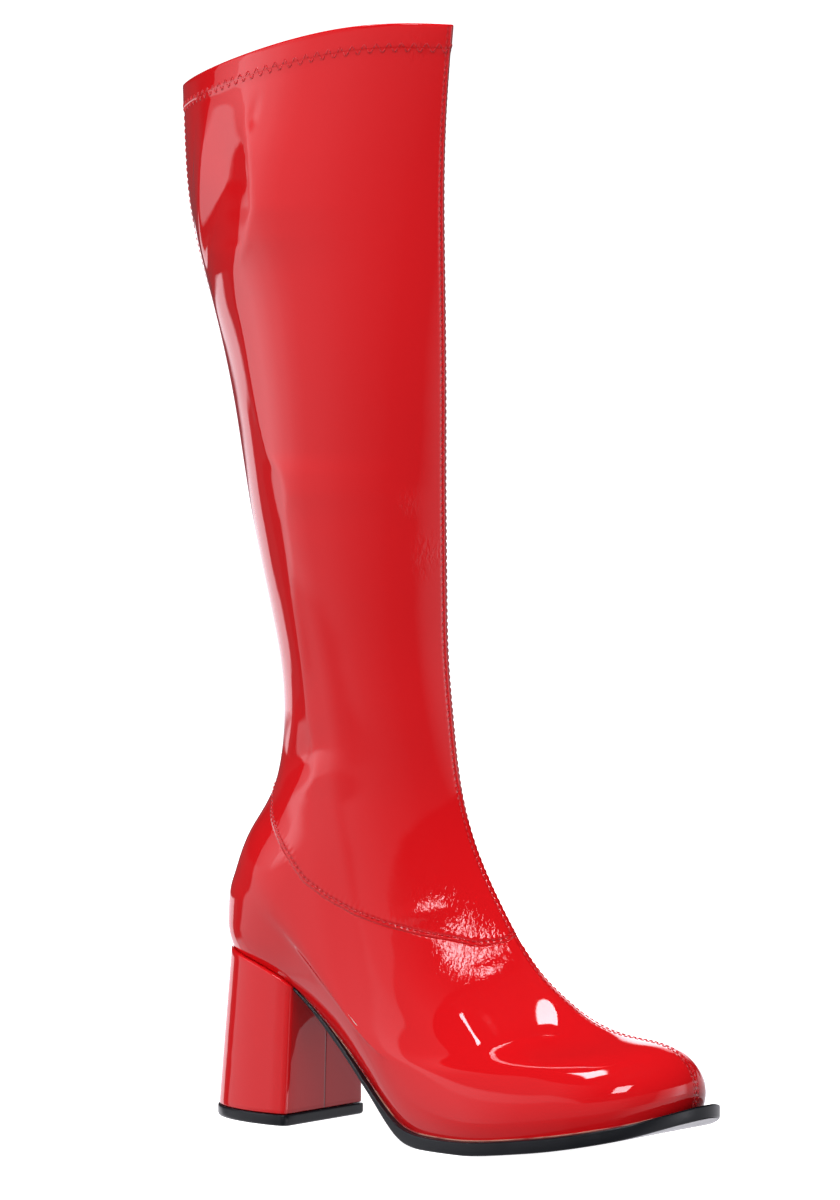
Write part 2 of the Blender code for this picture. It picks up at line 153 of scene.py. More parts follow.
FOOT_SECTIONS = (
    (0.000, 0.000, 1.000, 0.000, 0.318, 0.290, 0.508, 0.30, 1.00, 0.19, 0.15, 2.1, 0.00, 0.00),
    (-0.008, 0.058, 1.009, 0.036, 0.337, 0.325, 0.525, 0.30, 1.00, 0.19, 0.16, 2.1, 0.00, 0.00),
    (-0.010, 0.129, 1.004, 0.086, 0.348, 0.360, 0.526, 0.30, 0.99, 0.20, 0.17, 2.1, 0.03, 0.00),
    (-0.008, 0.209, 0.965, 0.146, 0.350, 0.385, 0.505, 0.28, 0.97, 0.21, 0.20, 2.1, 0.06, 0.05),
    (0.001, 0.289, 0.864, 0.172, 0.345, 0.400, 0.475, 0.26, 0.92, 0.22, 0.26, 2.0, 0.10, 0.16),
    (0.016, 0.378, 0.760, 0.224, 0.335, 0.405, 0.438, 0.25, 0.82, 0.24, 0.34, 2.0, 0.15, 0.42),
    (0.038, 0.475, 0.669, 0.326, 0.322, 0.400, 0.405, 0.27, 0.66, 0.28, 0.40, 2.0, 0.20, 0.66),
    (0.072, 0.582, 0.595, 0.472, 0.315, 0.390, 0.375, 0.30, 0.45, 0.34, 0.45, 2.0, 0.28, 0.84),
    (0.096, 0.698, 0.538, 0.624, 0.320, 0.375, 0.365, 0.32, 0.25, 0.40, 0.48, 2.0, 0.38, 0.92),
    (0.107, 0.840, 0.503, 0.785, 0.340, 0.370, 0.360, 0.34, 0.10, 0.46, 0.50, 2.0, 0.50, 0.95),
    (0.107, 1.000, 0.487, 0.952, 0.365, 0.365, 0.365, 0.36, 0.02, 0.50, 0.50, 2.0, 0.62, 0.96),
)
SHAFT_COLUMNS = (
    "back", "front", "rise", "tilt", "half_width", "crown", "ridge_back", "ridge_front",
)  # fmt: skip
SHAFT_SECTIONS = (
    (-0.596, 0.007, 0.066, -0.05, 0.400, 0.000, 0.72, 0.97),
    (-0.645, 0.000, 0.168, 0.12, 0.425, 0.000, 0.82, 0.97),
    (-0.714, -0.003, 0.311, 0.24, 0.450, 0.000, 0.88, 0.97),
    (-0.772, -0.003, 0.469, 0.36, 0.472, 0.000, 0.90, 0.97),
    (-0.854, -0.006, 0.634, 0.44, 0.480, 0.004, 0.90, 0.97),
    (-0.943, -0.008, 0.799, 0.58, 0.470, 0.012, 0.90, 0.97),
    (-0.964, 0.002, 0.901, 0.78, 0.440, 0.020, 0.90, 0.97),
    (-0.972, 0.022, 1.000, 1.00, 0.405, 0.030, 0.90, 0.97),
)
OUTER_SIDE, INNER_SIDE = -1, 1

# The seam between vamp and shaft, seen from the side: how far forward and how high
VAMP_SEAM_COLUMNS = ("x", "z")
VAMP_SEAM = (
    (-0.010, 0.166), (-0.003, 0.156), (0.002, 0.148), (0.009, 0.140), (0.020, 0.130),
    (0.031, 0.120), (0.040, 0.111), (0.053, 0.104), (0.068, 0.098), (0.082, 0.094),
    (0.099, 0.090), (0.111, 0.088), (0.119, 0.086), (0.126, 0.087), (0.130, 0.088),
    (0.132, 0.091), (0.140, 0.110),
)  # fmt: skip


# The shape, from the sizes
def natural_spline(knots, values):
    """A smooth curve through values at the knots, straight past its ends."""
    knots = np.asarray(knots, float)
    values = np.asarray(values, float)
    count = len(knots)
    steps = np.diff(knots)
    slopes = np.diff(values, axis=0) / steps.reshape(-1, *[1] * (values.ndim - 1))
    system = np.eye(count)
    right = np.zeros_like(values)
    for i in range(1, count - 1):
        system[i, i - 1 : i + 2] = steps[i - 1], 2 * (steps[i - 1] + steps[i]), steps[i]
        right[i] = 6 * (slopes[i] - slopes[i - 1])
    bends = np.linalg.solve(system, right)

    def curve(at):
        at = np.atleast_1d(np.asarray(at, float))
        inside = np.clip(at, knots[0], knots[-1])
        i = np.clip(np.searchsorted(knots, inside) - 1, 0, count - 2)
        shape = (-1, *[1] * (values.ndim - 1))
        step = steps[i].reshape(shape)
        left = (inside - knots[i]).reshape(shape)
        past = (at - inside).reshape(shape)
        slope = slopes[i] - step * (2 * bends[i] + bends[i + 1]) / 6
        cubic = (bends[i + 1] - bends[i]) / (6 * step)
        value = values[i] + left * (slope + left * (bends[i] / 2 + left * cubic))
        gradient = slope + left * (bends[i] + 3 * left * cubic)
        return value + past * gradient

    return curve


def columns_of(names, rows):
    return dict(zip(names, np.array(rows, float).T))


def last_bottom_height(x):
    """Height of the feather line above the floor at each x."""
    rows = columns_of(LAST_BOTTOM_COLUMNS, LAST_BOTTOM)
    seat = rows["heel"] * (HEEL_HEIGHT - SOLE_THICKNESS)
    height = SOLE_THICKNESS + seat + rows["spring"] * TOE_SPRING
    return natural_spline(rows["along"], height)((x - HEEL_POINT) / FOOT_LENGTH)


def middle_line(along):
    rows = columns_of(SWING_COLUMNS, SWING)
    return natural_spline(rows["along"], rows["aside"])(along) * BALL_WIDTH


def end_cap(share, length, square, ridge):
    """Width left near a section's end: a rounded end, with some of a seam's sharp ridge."""
    q = np.clip(1 - share / length, 0, 1)
    rounded = (1 - q**square) ** (1 / square)
    return (1 - ridge) * rounded + ridge * (1 - q**2)


def section_table():
    """Every section in the boot's own sizes, one array a column, foot first."""
    foot = columns_of(FOOT_COLUMNS, FOOT_SECTIONS)
    shaft = columns_of(SHAFT_COLUMNS, SHAFT_SECTIONS)
    ankle = HEEL_HEIGHT + ANKLE_RISE
    toe = SOLE_THICKNESS + TOE_SPRING
    shaft_width = shaft["half_width"] * SHAFT_WIDTH
    plain = np.ones(len(SHAFT_SECTIONS))

    def joined(foot_values, shaft_values):
        return np.concatenate([foot_values, shaft_values])

    shaft_height = ankle + shaft["rise"] * SHAFT_RISE
    return {
        "back_x": joined(
            HEEL_POINT + foot["back"] * FOOT_LENGTH, SHIN_LINE + shaft["back"] * COLLAR_DEPTH
        ),
        "back_z": joined(HEEL_HEIGHT + foot["back_rise"] * ANKLE_RISE, shaft_height),
        "front_x": joined(
            HEEL_POINT + foot["front"] * FOOT_LENGTH, SHIN_LINE + shaft["front"] * COLLAR_DEPTH
        ),
        "front_z": joined(
            toe + foot["front_rise"] * (ankle - toe), shaft_height + shaft["tilt"] * COLLAR_TILT
        ),
        **{name: joined(foot[name] * BALL_WIDTH, shaft_width) for name in WIDTH_NAMES},
        "sag": joined(foot["sag"], 0 * plain),
        "crown": joined(np.zeros(len(FOOT_SECTIONS)), shaft["crown"]),
        "cap_back": joined(foot["cap_back"], 0.5 * plain),
        "cap_front": joined(foot["cap_front"], 0.5 * plain),
        "square": joined(foot["square"], 2 * plain),
        "ridge_back": joined(foot["ridge_back"], shaft["ridge_back"]),
        "ridge_front": joined(foot["ridge_front"], shaft["ridge_front"]),
        "swing": joined(1 - np.linspace(0, 1, len(FOOT_SECTIONS)) ** 0.8, 0 * plain),
    }


def section_spline():
    """The sections as one smooth function of the climb from the feather line, and the top of it."""
    table = section_table()
    names = list(table)
    rows = np.stack([table[name] for name in names], axis=1)
    back = np.hypot(np.diff(table["back_x"]), np.diff(table["back_z"]))
    front = np.hypot(np.diff(table["front_x"]), np.diff(table["front_z"]))
    climb = np.concatenate([[0], np.cumsum((back + front) / 2)])
    curve = natural_spline(climb, rows)
    return lambda up: dict(zip(names, curve(up)[0])), climb[-1]


def feather_section():
    """The lowest section, where the upper meets the sole."""
    return section_spline()[0](0.0)


def section_side(section, side, inset=0.0):
    """Points of one side of a section, from the back seam round to the front seam."""
    turn = np.linspace(0, math.pi, SAMPLES)
    along = (1 - np.cos(turn)) / 2
    widths = [section[name] for name in WIDTH_NAMES]
    half = natural_spline(WIDTH_PLACES, widths)(along)
    back_cap = end_cap(along, section["cap_back"], section["square"], section["ridge_back"])
    front_cap = end_cap(1 - along, section["cap_front"], section["square"], section["ridge_front"])
    straight = HEEL_POINT + FOOT_LENGTH * along
    ends = last_bottom_height(np.array([HEEL_POINT, HEEL_POINT + FOOT_LENGTH]))
    arch = ends[0] + (ends[1] - ends[0]) * along - last_bottom_height(straight)
    x = section["back_x"] + (section["front_x"] - section["back_x"]) * along
    z = section["back_z"] + (section["front_z"] - section["back_z"]) * along
    z += section["crown"] * COLLAR_DEPTH * np.sin(math.pi * along**CROWN_PLACE)
    y = side * (half * back_cap * front_cap) + section["swing"] * middle_line(along)
    points = np.stack([x, y, z - section["sag"] * arch], axis=1)
    if inset:
        points = inset_outline(points, side, inset)
    return points


def inset_outline(points, side, inset):
    """An outline moved inwards in plan, its two ends kept on the middle line."""
    run = np.gradient(points[:, :2], axis=0)
    run /= np.maximum(np.linalg.norm(run, axis=1, keepdims=True), 1e-9)
    inward = np.stack([run[:, 1], -run[:, 0]], axis=1) * side
    inward[0], inward[-1] = (1, 0), (-1, 0)
    moved = points.copy()
    moved[:, :2] += inward * np.broadcast_to(inset, len(points))[:, None]
    return moved


def travel_of(points):
    """Distance walked along a line of points."""
    return np.concatenate([[0], np.cumsum(np.linalg.norm(np.diff(points, axis=0), axis=1))])


def spread(points, count):
    """The same line at count + 1 points, closer together where it rounds its two ends."""
    travel = travel_of(points)
    even = np.linspace(0, 1, count + 1)
    crowded = (1 - np.cos(math.pi * even)) / 2
    wanted = travel[-1] * (even + CROWDING * (crowded - even))
    return np.stack([np.interp(wanted, travel, points[:, k]) for k in range(3)], axis=1)


def surface(rows, columns, top_gap=0.0):
    """The upper's skin as a table of points: rows climb it, and columns go round the outer
    side from the back seam to the front seam, and back along the inner side."""
    spline, top = section_spline()
    rings = []
    for up in (top - top_gap) * np.linspace(0, 1, rows + 1) ** ROW_CROWDING:
        section = spline(up)
        outer = spread(section_side(section, OUTER_SIDE), columns)
        inner = spread(section_side(section, INNER_SIDE), columns)
        rings.append(np.concatenate([outer, inner[-2::-1]]))
    return np.array(rings)


def normals_of(points):
    """Outward directions of a closed table of points."""
    ring = np.concatenate([points[:, -2:-1], points, points[:, 1:2]], axis=1)
    around = ring[:, 2:] - ring[:, :-2]
    up = np.gradient(points, axis=0)
    out = np.cross(around, up)
    out /= np.maximum(np.linalg.norm(out, axis=2, keepdims=True), 1e-12)
    away = points - points.mean(axis=1, keepdims=True)
    middle = len(points) // 2
    if np.sum(out[middle] * away[middle]) < 0:
        out = -out
    return out


def between(points, row, column):
    """The table's value at fractional rows and columns."""
    row = np.clip(np.asarray(row, float), 0, points.shape[0] - 1.001)
    column = np.clip(np.asarray(column, float), 0, points.shape[1] - 1.001)
    i, j = row.astype(int), column.astype(int)
    s, t = (row - i)[..., None], (column - j)[..., None]
    low = points[i, j] * (1 - t) + points[i, j + 1] * t
    high = points[i + 1, j] * (1 - t) + points[i + 1, j + 1] * t
    return low * (1 - s) + high * s


def soft_step(value, start, end):
    share = np.clip((value - start) / (end - start), 0, 1)
    return share * share * (3 - 2 * share)


# Places on the skin
SKIN_FIELDS = ("front", "back", "edge", "vamp", "vamp_run", "climb")


def seam_distances(points, seam):
    """How far each point of the table is from a line, and how far along it the nearest place is."""
    starts, runs = seam[:-1], np.diff(seam, axis=0)
    lengths = np.maximum(np.linalg.norm(runs, axis=1), 1e-9)
    walked = np.concatenate([[0], np.cumsum(lengths)])[:-1]
    flat = points.reshape(-1, 3)
    nearest = np.full(len(flat), 1.0)
    along = np.zeros(len(flat))
    for start, run, length, before in zip(starts, runs, lengths, walked):
        share = np.clip((flat - start) @ run / length**2, 0, 1)
        gap = np.linalg.norm(flat - start - share[:, None] * run, axis=1)
        closer = gap < nearest
        nearest = np.where(closer, gap, nearest)
        along = np.where(closer, before + share * length, along)
    return nearest.reshape(points.shape[:2]), along.reshape(points.shape[:2])


def skin_places(points):
    """Distances over the skin, from each seam and from the collar's edge, in metres."""
    columns = points.shape[1]
    front = (columns - 1) // 2
    steps = np.linalg.norm(np.diff(points, axis=1), axis=2)
    walked = np.concatenate([np.zeros((len(points), 1)), np.cumsum(steps, axis=1)], axis=1)
    from_front = np.abs(walked - walked[:, front : front + 1])
    from_back = np.minimum(walked, walked[:, -1:] - walked)
    climbs = np.linalg.norm(np.diff(points, axis=0), axis=2)
    climbed = np.concatenate([np.zeros((1, columns)), np.cumsum(climbs, axis=0)])
    below_edge = climbed[-1:] - climbed
    line = columns_of(VAMP_SEAM_COLUMNS, VAMP_SEAM)
    above = points[..., 2] - np.interp(points[..., 0], line["x"], line["z"])
    above = np.where(points[..., 0] > line["x"][-1], -1, above)
    above = np.where((points[..., 0] < line["x"][0]) & (points[..., 2] > line["z"][0]), 1, above)
    crossings = []
    for column in range(columns):
        row = np.nonzero(above[:, column] < 0)[0][-1]
        share = -above[row, column] / (above[row + 1, column] - above[row, column])
        crossings.append(row + share)
    crossings = np.array(crossings)
    seam = between(points, crossings, np.arange(columns))
    gap, run = seam_distances(points, seam)
    is_above = np.arange(len(points))[:, None] > crossings[None, :]
    return {
        "front": from_front,
        "back": from_back,
        "edge": below_edge,
        "vamp": np.where(is_above, gap, -gap),
        "vamp_run": run,
        "climb": climbed,
    }


def crossing_rows(field, value, columns):
    """For each column, the row where the field reaches the value, going up."""
    rows = []
    for column in columns:
        line = field[:, column]
        row = np.nonzero(line < value)[0][-1]
        rows.append(row + (value - line[row]) / (line[row + 1] - line[row]))
    return np.array(rows)


# Soft folds of the shaft

# The soft fold that runs up the outer side, from the ankle to the collar. At each height: a rear
# swell, the hollow ahead of it and the crest that ends the hollow, each as its x and how far it
# stands out.
FOLD_COLUMNS = ("z", "rear", "rear_out", "hollow", "hollow_out", "crest", "crest_out")
FOLD = (
    (0.148, 0.020, 0, 0.030, 0, 0.044, 0),
    (0.158, 0.026, 0, 0.036, 0, 0.044, 0.0006),
    (0.172, 0.024, 0, 0.034, 0, 0.042, 0.0009),
    (0.194, 0.018, 0, 0.028, 0, 0.039, 0.0011),
    (0.217, 0.012, 0, 0.022, 0, 0.038, 0.0016),
    (0.239, 0.010, 0, 0.020, 0, 0.037, 0.0021),
    (0.260, 0.006, 0, 0.017, 0, 0.035, 0.0026),
    (0.271, 0.004, 0, 0.015, 0, 0.033, 0.0026),
    (0.282, 0.002, 0, 0.013, 0, 0.034, 0.0028),
    (0.291, 0, 0, 0.012, 0, 0.031, 0.0023),
    (0.299, 0, 0, 0.012, 0, 0.021, 0.0011),
    (0.313, -0.004, 0, 0.007, 0, 0.015, 0.0008),
    (0.326, -0.008, 0, 0.002, 0, 0.011, 0.0006),
    (0.353, -0.016, 0, -0.007, 0, 0.005, 0.0007),
    (0.366, -0.026, 0, -0.018, 0, 0.002, 0.001),
    (0.379, -0.032, 0, -0.027, 0, 0.004, 0.002),
    (0.388, -0.033, 0.0006, -0.025, -0.0004, 0.009, 0.003),
    (0.393, -0.033, 0.0009, -0.021, -0.001, 0.013, 0.0034),
    (0.406, -0.031, 0.0012, -0.015, -0.0019, 0.017, 0.0037),
    (0.419, -0.028, 0.0014, -0.008, -0.002, 0.015, 0.003),
    (0.430, -0.026, 0.0013, -0.008, -0.0018, 0.0125, 0.0024),
    (0.438, -0.024, 0.0011, -0.008, -0.0012, 0.010, 0.0017),
    (0.445, -0.023, 0.0009, -0.007, -0.0006, 0.0085, 0.001),
    (0.453, -0.022, 0.0006, -0.006, 0, 0.008, 0.0004),
    (0.464, -0.024, 0, -0.006, 0, 0.008, 0),
)
REAR_FOOT = 0.014
CREST_FOOT = 0.060
CREST_ROUND = 0.0012

# Soft dents and swells: the middle of each, which way it runs, how long and wide, and how far
# out it stands (dents are negative)
SWELLS = (
    ((-0.024, -0.022, 0.366), (1, 0, 0), 0.022, 0.014, 0.0008),  # calf, where the back turns in
    ((0.013, -0.036, 0.449), (0.2, 0, 1), 0.007, 0.0022, -0.0007),  # nick under the hem
    ((0.029, -0.029, 0.1640), (0.92, -0.1, 0.39), 0.022, 0.010, -0.0023),  # behind the ankle
    ((0.096, -0.0215, 0.0990), (0.80, 0.55, 0.23), 0.012, 0.0030, 0.00050),  # over the instep
    ((0.118, -0.014, 0.0865), (0.60, 0.62, 0.30), 0.008, 0.0026, -0.00022),
    ((0.126, -0.012, 0.0775), (0.60, 0.62, 0.20), 0.008, 0.0026, 0.00020),
    ((0.1605, -0.0055, 0.0580), (-0.42, 0.54, 0.73), 0.013, 0.0064, 0.00076),  # over the toes
    ((0.129, -0.028, 0.0518), (0.76, -0.21, -0.61), 0.012, 0.0032, 0.0006),  # crease at the ball
    ((0.200, -0.021, 0.0395), (0.78, 0.60, 0.20), 0.012, 0.0024, 0.00028),  # toe cap
    ((0.034, 0.030, 0.195), (0.47, 0, 0.88), 0.030, 0.012, -0.0008),  # inner side
    ((0.030, 0.036, 0.360), (0.17, 0, 0.98), 0.050, 0.018, 0.0006),
    ((0.104, 0.016, 0.096), (0.67, -0.58, 0.47), 0.012, 0.0035, -0.0004),
)


def fold_profile(x, line):
    """How far the long fold stands out at each x: up to the rear swell, down into the hollow,
    then ever more steeply up to the crest, and softly away ahead of it."""

    def share(start, end):
        return np.clip((x - start) / (end - start), 0, 1)

    up_rear = share(line["rear"] - REAR_FOOT, line["rear"])
    down = 1 - (1 - share(line["rear"], line["hollow"])) ** 2
    climb = share(line["hollow"], line["crest"])
    away = 1 - (1 - share(line["crest"], line["crest"] + CREST_FOOT)) ** 2
    level = line["rear_out"] * up_rear + (line["hollow_out"] - line["rear_out"]) * down
    level += (line["crest_out"] - line["hollow_out"]) * (0.2 * climb + 0.8 * climb**2)
    return level - line["crest_out"] * away


def fold_depths(points):
    """How far the soft folds and swells push the skin out, at each point of the table."""
    x, y, z = (points[..., k] for k in range(3))
    rows = columns_of(FOLD_COLUMNS, FOLD)
    line = {name: np.interp(z, rows["z"], rows[name]) for name in FOLD_COLUMNS[1:]}
    shifts = CREST_ROUND * np.linspace(-1, 1, 5)
    depth = sum(fold_profile(x + shift, line) for shift in shifts) / len(shifts)
    depth *= soft_step(-y, 0.002, 0.010)
    for middle, run, length, width, out in SWELLS:
        away = points - np.array(middle)
        run = np.array(run) / np.linalg.norm(run)
        along = away @ run
        across = np.linalg.norm(away - along[..., None] * run, axis=-1)
        depth += out * np.exp(-((along / length) ** 2) - (across / width) ** 2)
    return depth


# Mesh helpers
def finished(name, mesh):
    """A bmesh as a smooth object in the scene."""
    data = bpy.data.meshes.new(name)
    mesh.to_mesh(data)
    mesh.free()
    for polygon in data.polygons:
        polygon.use_smooth = True
    piece = bpy.data.objects.new(name, data)
    bpy.context.scene.collection.objects.link(piece)
    return piece


def sheet_mesh(points, fields=None, weld=True):
    """A grid laid over a table of points, with its fields kept at the vertices."""
    rows, columns = points.shape[:2]
    mesh = bmesh.new()
    bmesh.ops.create_grid(mesh, x_segments=columns - 1, y_segments=rows - 1, size=1)
    mesh.verts.ensure_lookup_table()
    layers = {name: mesh.verts.layers.float.new(name) for name in fields or {}}
    flat = {name: values.reshape(-1) for name, values in (fields or {}).items()}
    for index, (vert, point) in enumerate(zip(mesh.verts, points.reshape(-1, 3))):
        vert.co = point
        for name, layer in layers.items():
            vert[layer] = flat[name][index]
    if weld:
        bmesh.ops.remove_doubles(mesh, verts=mesh.verts, dist=1e-7)
    return mesh


def round_edges(mesh, offset, segments):
    """Rounds every sharp edge."""
    edges = [e for e in mesh.edges if e.is_manifold and e.calc_face_angle() > 1.0]
    bmesh.ops.bevel(
        mesh, geom=edges, offset=offset, affect="EDGES", segments=segments, profile=0.5, material=-1
    )


def turned_out(mesh, inside=False):
    """Turns an open tube's faces away from its middle, or towards it."""
    mesh.faces.ensure_lookup_table()
    middle = sum((v.co for v in mesh.verts), Vector()) / len(mesh.verts)
    votes = sum(f.calc_area() * f.normal.dot(f.calc_center_median() - middle) for f in mesh.faces)
    if (votes < 0) != inside:
        bmesh.ops.reverse_faces(mesh, faces=mesh.faces)
    return mesh


def stitch_line(mesh, path, normals):
    """Lays stitches along a path: small rounded dashes, half sunk."""
    travel = travel_of(path)
    count = max(int(travel[-1] / STITCH_PITCH), 1)
    for i in range(count):
        at = (i + 0.5) * travel[-1] / count
        start, end = (
            Vector([np.interp(at + move, travel, path[:, k]) for k in range(3)])
            for move in (-STITCH_LENGTH / 2, STITCH_LENGTH / 2)
        )
        normal = Vector([np.interp(at, travel, normals[:, k]) for k in range(3)])
        place_stitch(mesh, start, end, normal, STITCH_WIDTH)


def place_stitch(mesh, start, end, normal, width):
    """One stitch from start to end, lying on the skin."""
    along = end - start
    length = along.length
    if length < 1e-6:
        return
    along.normalize()
    across = normal.cross(along).normalized()
    out = along.cross(across)
    turn = Matrix((along, across, out)).transposed().to_4x4()
    shape = Matrix.Diagonal((length / 2, width / 2, width * 0.42, 1))
    data = STITCH.copy()
    data.transform(Matrix.Translation((start + end) / 2) @ turn @ shape)
    mesh.from_mesh(data)
    bpy.data.meshes.remove(data)


def plain_stitch():
    """One stitch a unit long to each side, lying along X."""
    mesh = bmesh.new()
    made = bmesh.ops.create_uvsphere(mesh, u_segments=8, v_segments=5, radius=1)
    tip = Matrix.Rotation(math.pi / 2, 4, "Y")
    bmesh.ops.transform(mesh, matrix=tip, verts=made["verts"])
    data = bpy.data.meshes.new("plain_stitch")
    mesh.to_mesh(data)
    mesh.free()
    return data


STITCH = plain_stitch()


# Shader maths
def math_operator(kind, swapped=False):
    """An operator of shader values, as a Math node of this kind."""

    def method(self, other):
        pair = (other, self) if swapped else (self, other)
        return self.maths(kind, *pair)

    return method


class Socket:
    """A shader value: sums and products of it add Math nodes."""

    __add__ = math_operator("ADD")
    __radd__ = math_operator("ADD", swapped=True)
    __sub__ = math_operator("SUBTRACT")
    __rsub__ = math_operator("SUBTRACT", swapped=True)
    __mul__ = math_operator("MULTIPLY")
    __rmul__ = math_operator("MULTIPLY", swapped=True)
    __truediv__ = math_operator("DIVIDE")
    at_least = math_operator("MAXIMUM")
    at_most = math_operator("MINIMUM")

    def __init__(self, tree, socket):
        self.tree = tree
        self.socket = socket

    def maths(self, operation, *values):
        node = self.tree.nodes.new("ShaderNodeMath")
        node.operation = operation
        for slot, value in zip(node.inputs, values):
            plug(self.tree, slot, value)
        return Socket(self.tree, node.outputs[0])

    def __neg__(self):
        return self.maths("MULTIPLY", self, -1.0)

    def __abs__(self):
        return self.maths("ABSOLUTE", self)

    def cos(self):
        return self.maths("COSINE", self)

    def step(self, start, end):
        """0 before start and 1 after end, smooth between; start may be above end."""
        share = ((self - start) / (end - start)).at_least(0.0).at_most(1.0)
        return share * share * (3.0 - 2.0 * share)

    def bell(self, width):
        """1 at zero, falling away smoothly on both sides within about the width."""
        ratio = self / width
        return self.maths("EXPONENT", -(ratio * ratio))


def plug(tree, slot, value):
    if isinstance(value, Socket):
        tree.links.new(value.socket, slot)
    elif hasattr(slot.default_value, "__len__") and not hasattr(value, "__len__"):
        slot.default_value = [value] * len(slot.default_value)
    else:
        slot.default_value = value


class Nodes:
    """The nodes of one material, or of the world."""

    def __init__(self, tree):
        self.tree = tree

    def node(self, kind, settings=None, output=0, **values):
        """Adds a node, sets it up, and gives back one of its outputs."""
        node = self.tree.nodes.new(kind)
        for name, value in (settings or {}).items():
            setattr(node, name, value)
        for name, value in values.items():
            plug(self.tree, node.inputs[name.replace("_", " ")], value)
        return Socket(self.tree, node.outputs[output])

    def field(self, name):
        return self.node("ShaderNodeAttribute", {"attribute_name": name}, output="Fac")

    def place(self, **mapping):
        """Where a point is on the object, stretched or turned by a Mapping node if asked."""
        place = self.node("ShaderNodeTexCoord", output="Object")
        if mapping:
            return self.node("ShaderNodeMapping", Vector=place, **mapping)
        return place

    def apart(self, vector, axis):
        return self.node("ShaderNodeSeparateXYZ", output=axis, Vector=vector)

    def noise(self, scale, detail=2.0, roughness=0.5, vector=None, distortion=0.0):
        return self.node(
            "ShaderNodeTexNoise",
            output="Fac",
            Vector=vector or self.place(),
            Scale=scale,
            Detail=detail,
            Roughness=roughness,
            Distortion=distortion,
        )

    def mix(self, factor, first, second):
        """A colour between two, by the factor."""
        node = self.tree.nodes.new("ShaderNodeMix")
        node.data_type = "RGBA"
        for slot, value in zip((0, 6, 7), (factor, first, second)):
            if not isinstance(value, Socket) and slot > 0:
                value = (*value, 1) if len(value) == 3 else value
            plug(self.tree, node.inputs[slot], value)
        return Socket(self.tree, node.outputs[2])

    def bump(self, height):
        return self.node("ShaderNodeBump", Height=height, Distance=1.0, Strength=1.0)


class Finish(Nodes):
    """One material."""

    def __init__(self, name):
        self.material = bpy.data.materials.new(name)
        self.material.use_nodes = True
        super().__init__(self.material.node_tree)
        self.shader = self.tree.nodes["Principled BSDF"]

    def set(self, **values):
        for name, value in values.items():
            if not isinstance(value, Socket) and name.endswith("Color"):
                value = (*value, 1)
            plug(self.tree, self.shader.inputs[name.replace("_", " ")], value)
        return self.material


PATENT_RED = (0.72, 0.0075, 0.0110)
PATENT_DEEP = (0.66, 0.0060, 0.0090)
PATENT_ROUGHNESS = 0.035
# painted shade: the darker red laid along the stitch rows, standing for the shade in their sunken
# grooves
STITCH_GROOVE_SHADE_RED = (0.30, 0.004, 0.007)
BREAST_SEAM_RED = (0.12, 0.002, 0.004)
THREAD_RED = (0.50, 0.006, 0.010)
# painted highlight: the lighter red laid on the crests of the thread's twist
THREAD_CREST_HIGHLIGHT = (0.66, 0.030, 0.040)
STITCH_TURNS = 2 * math.pi / STITCH_PITCH

# Places where the patent is finely crumpled: where, how far round and how deep
CRUMPLES = (
    ((0.096, -0.018, 0.104), 0.015, 0.00014),
    ((0.120, -0.011, 0.084), 0.016, 0.00016),
    ((0.0814, -0.0137, 0.278), 0.006, 0.00018),
    ((0.0887, -0.006, 0.2547), 0.008, 0.00022),
    ((0.084, -0.009, 0.476), 0.008, 0.00026),
)


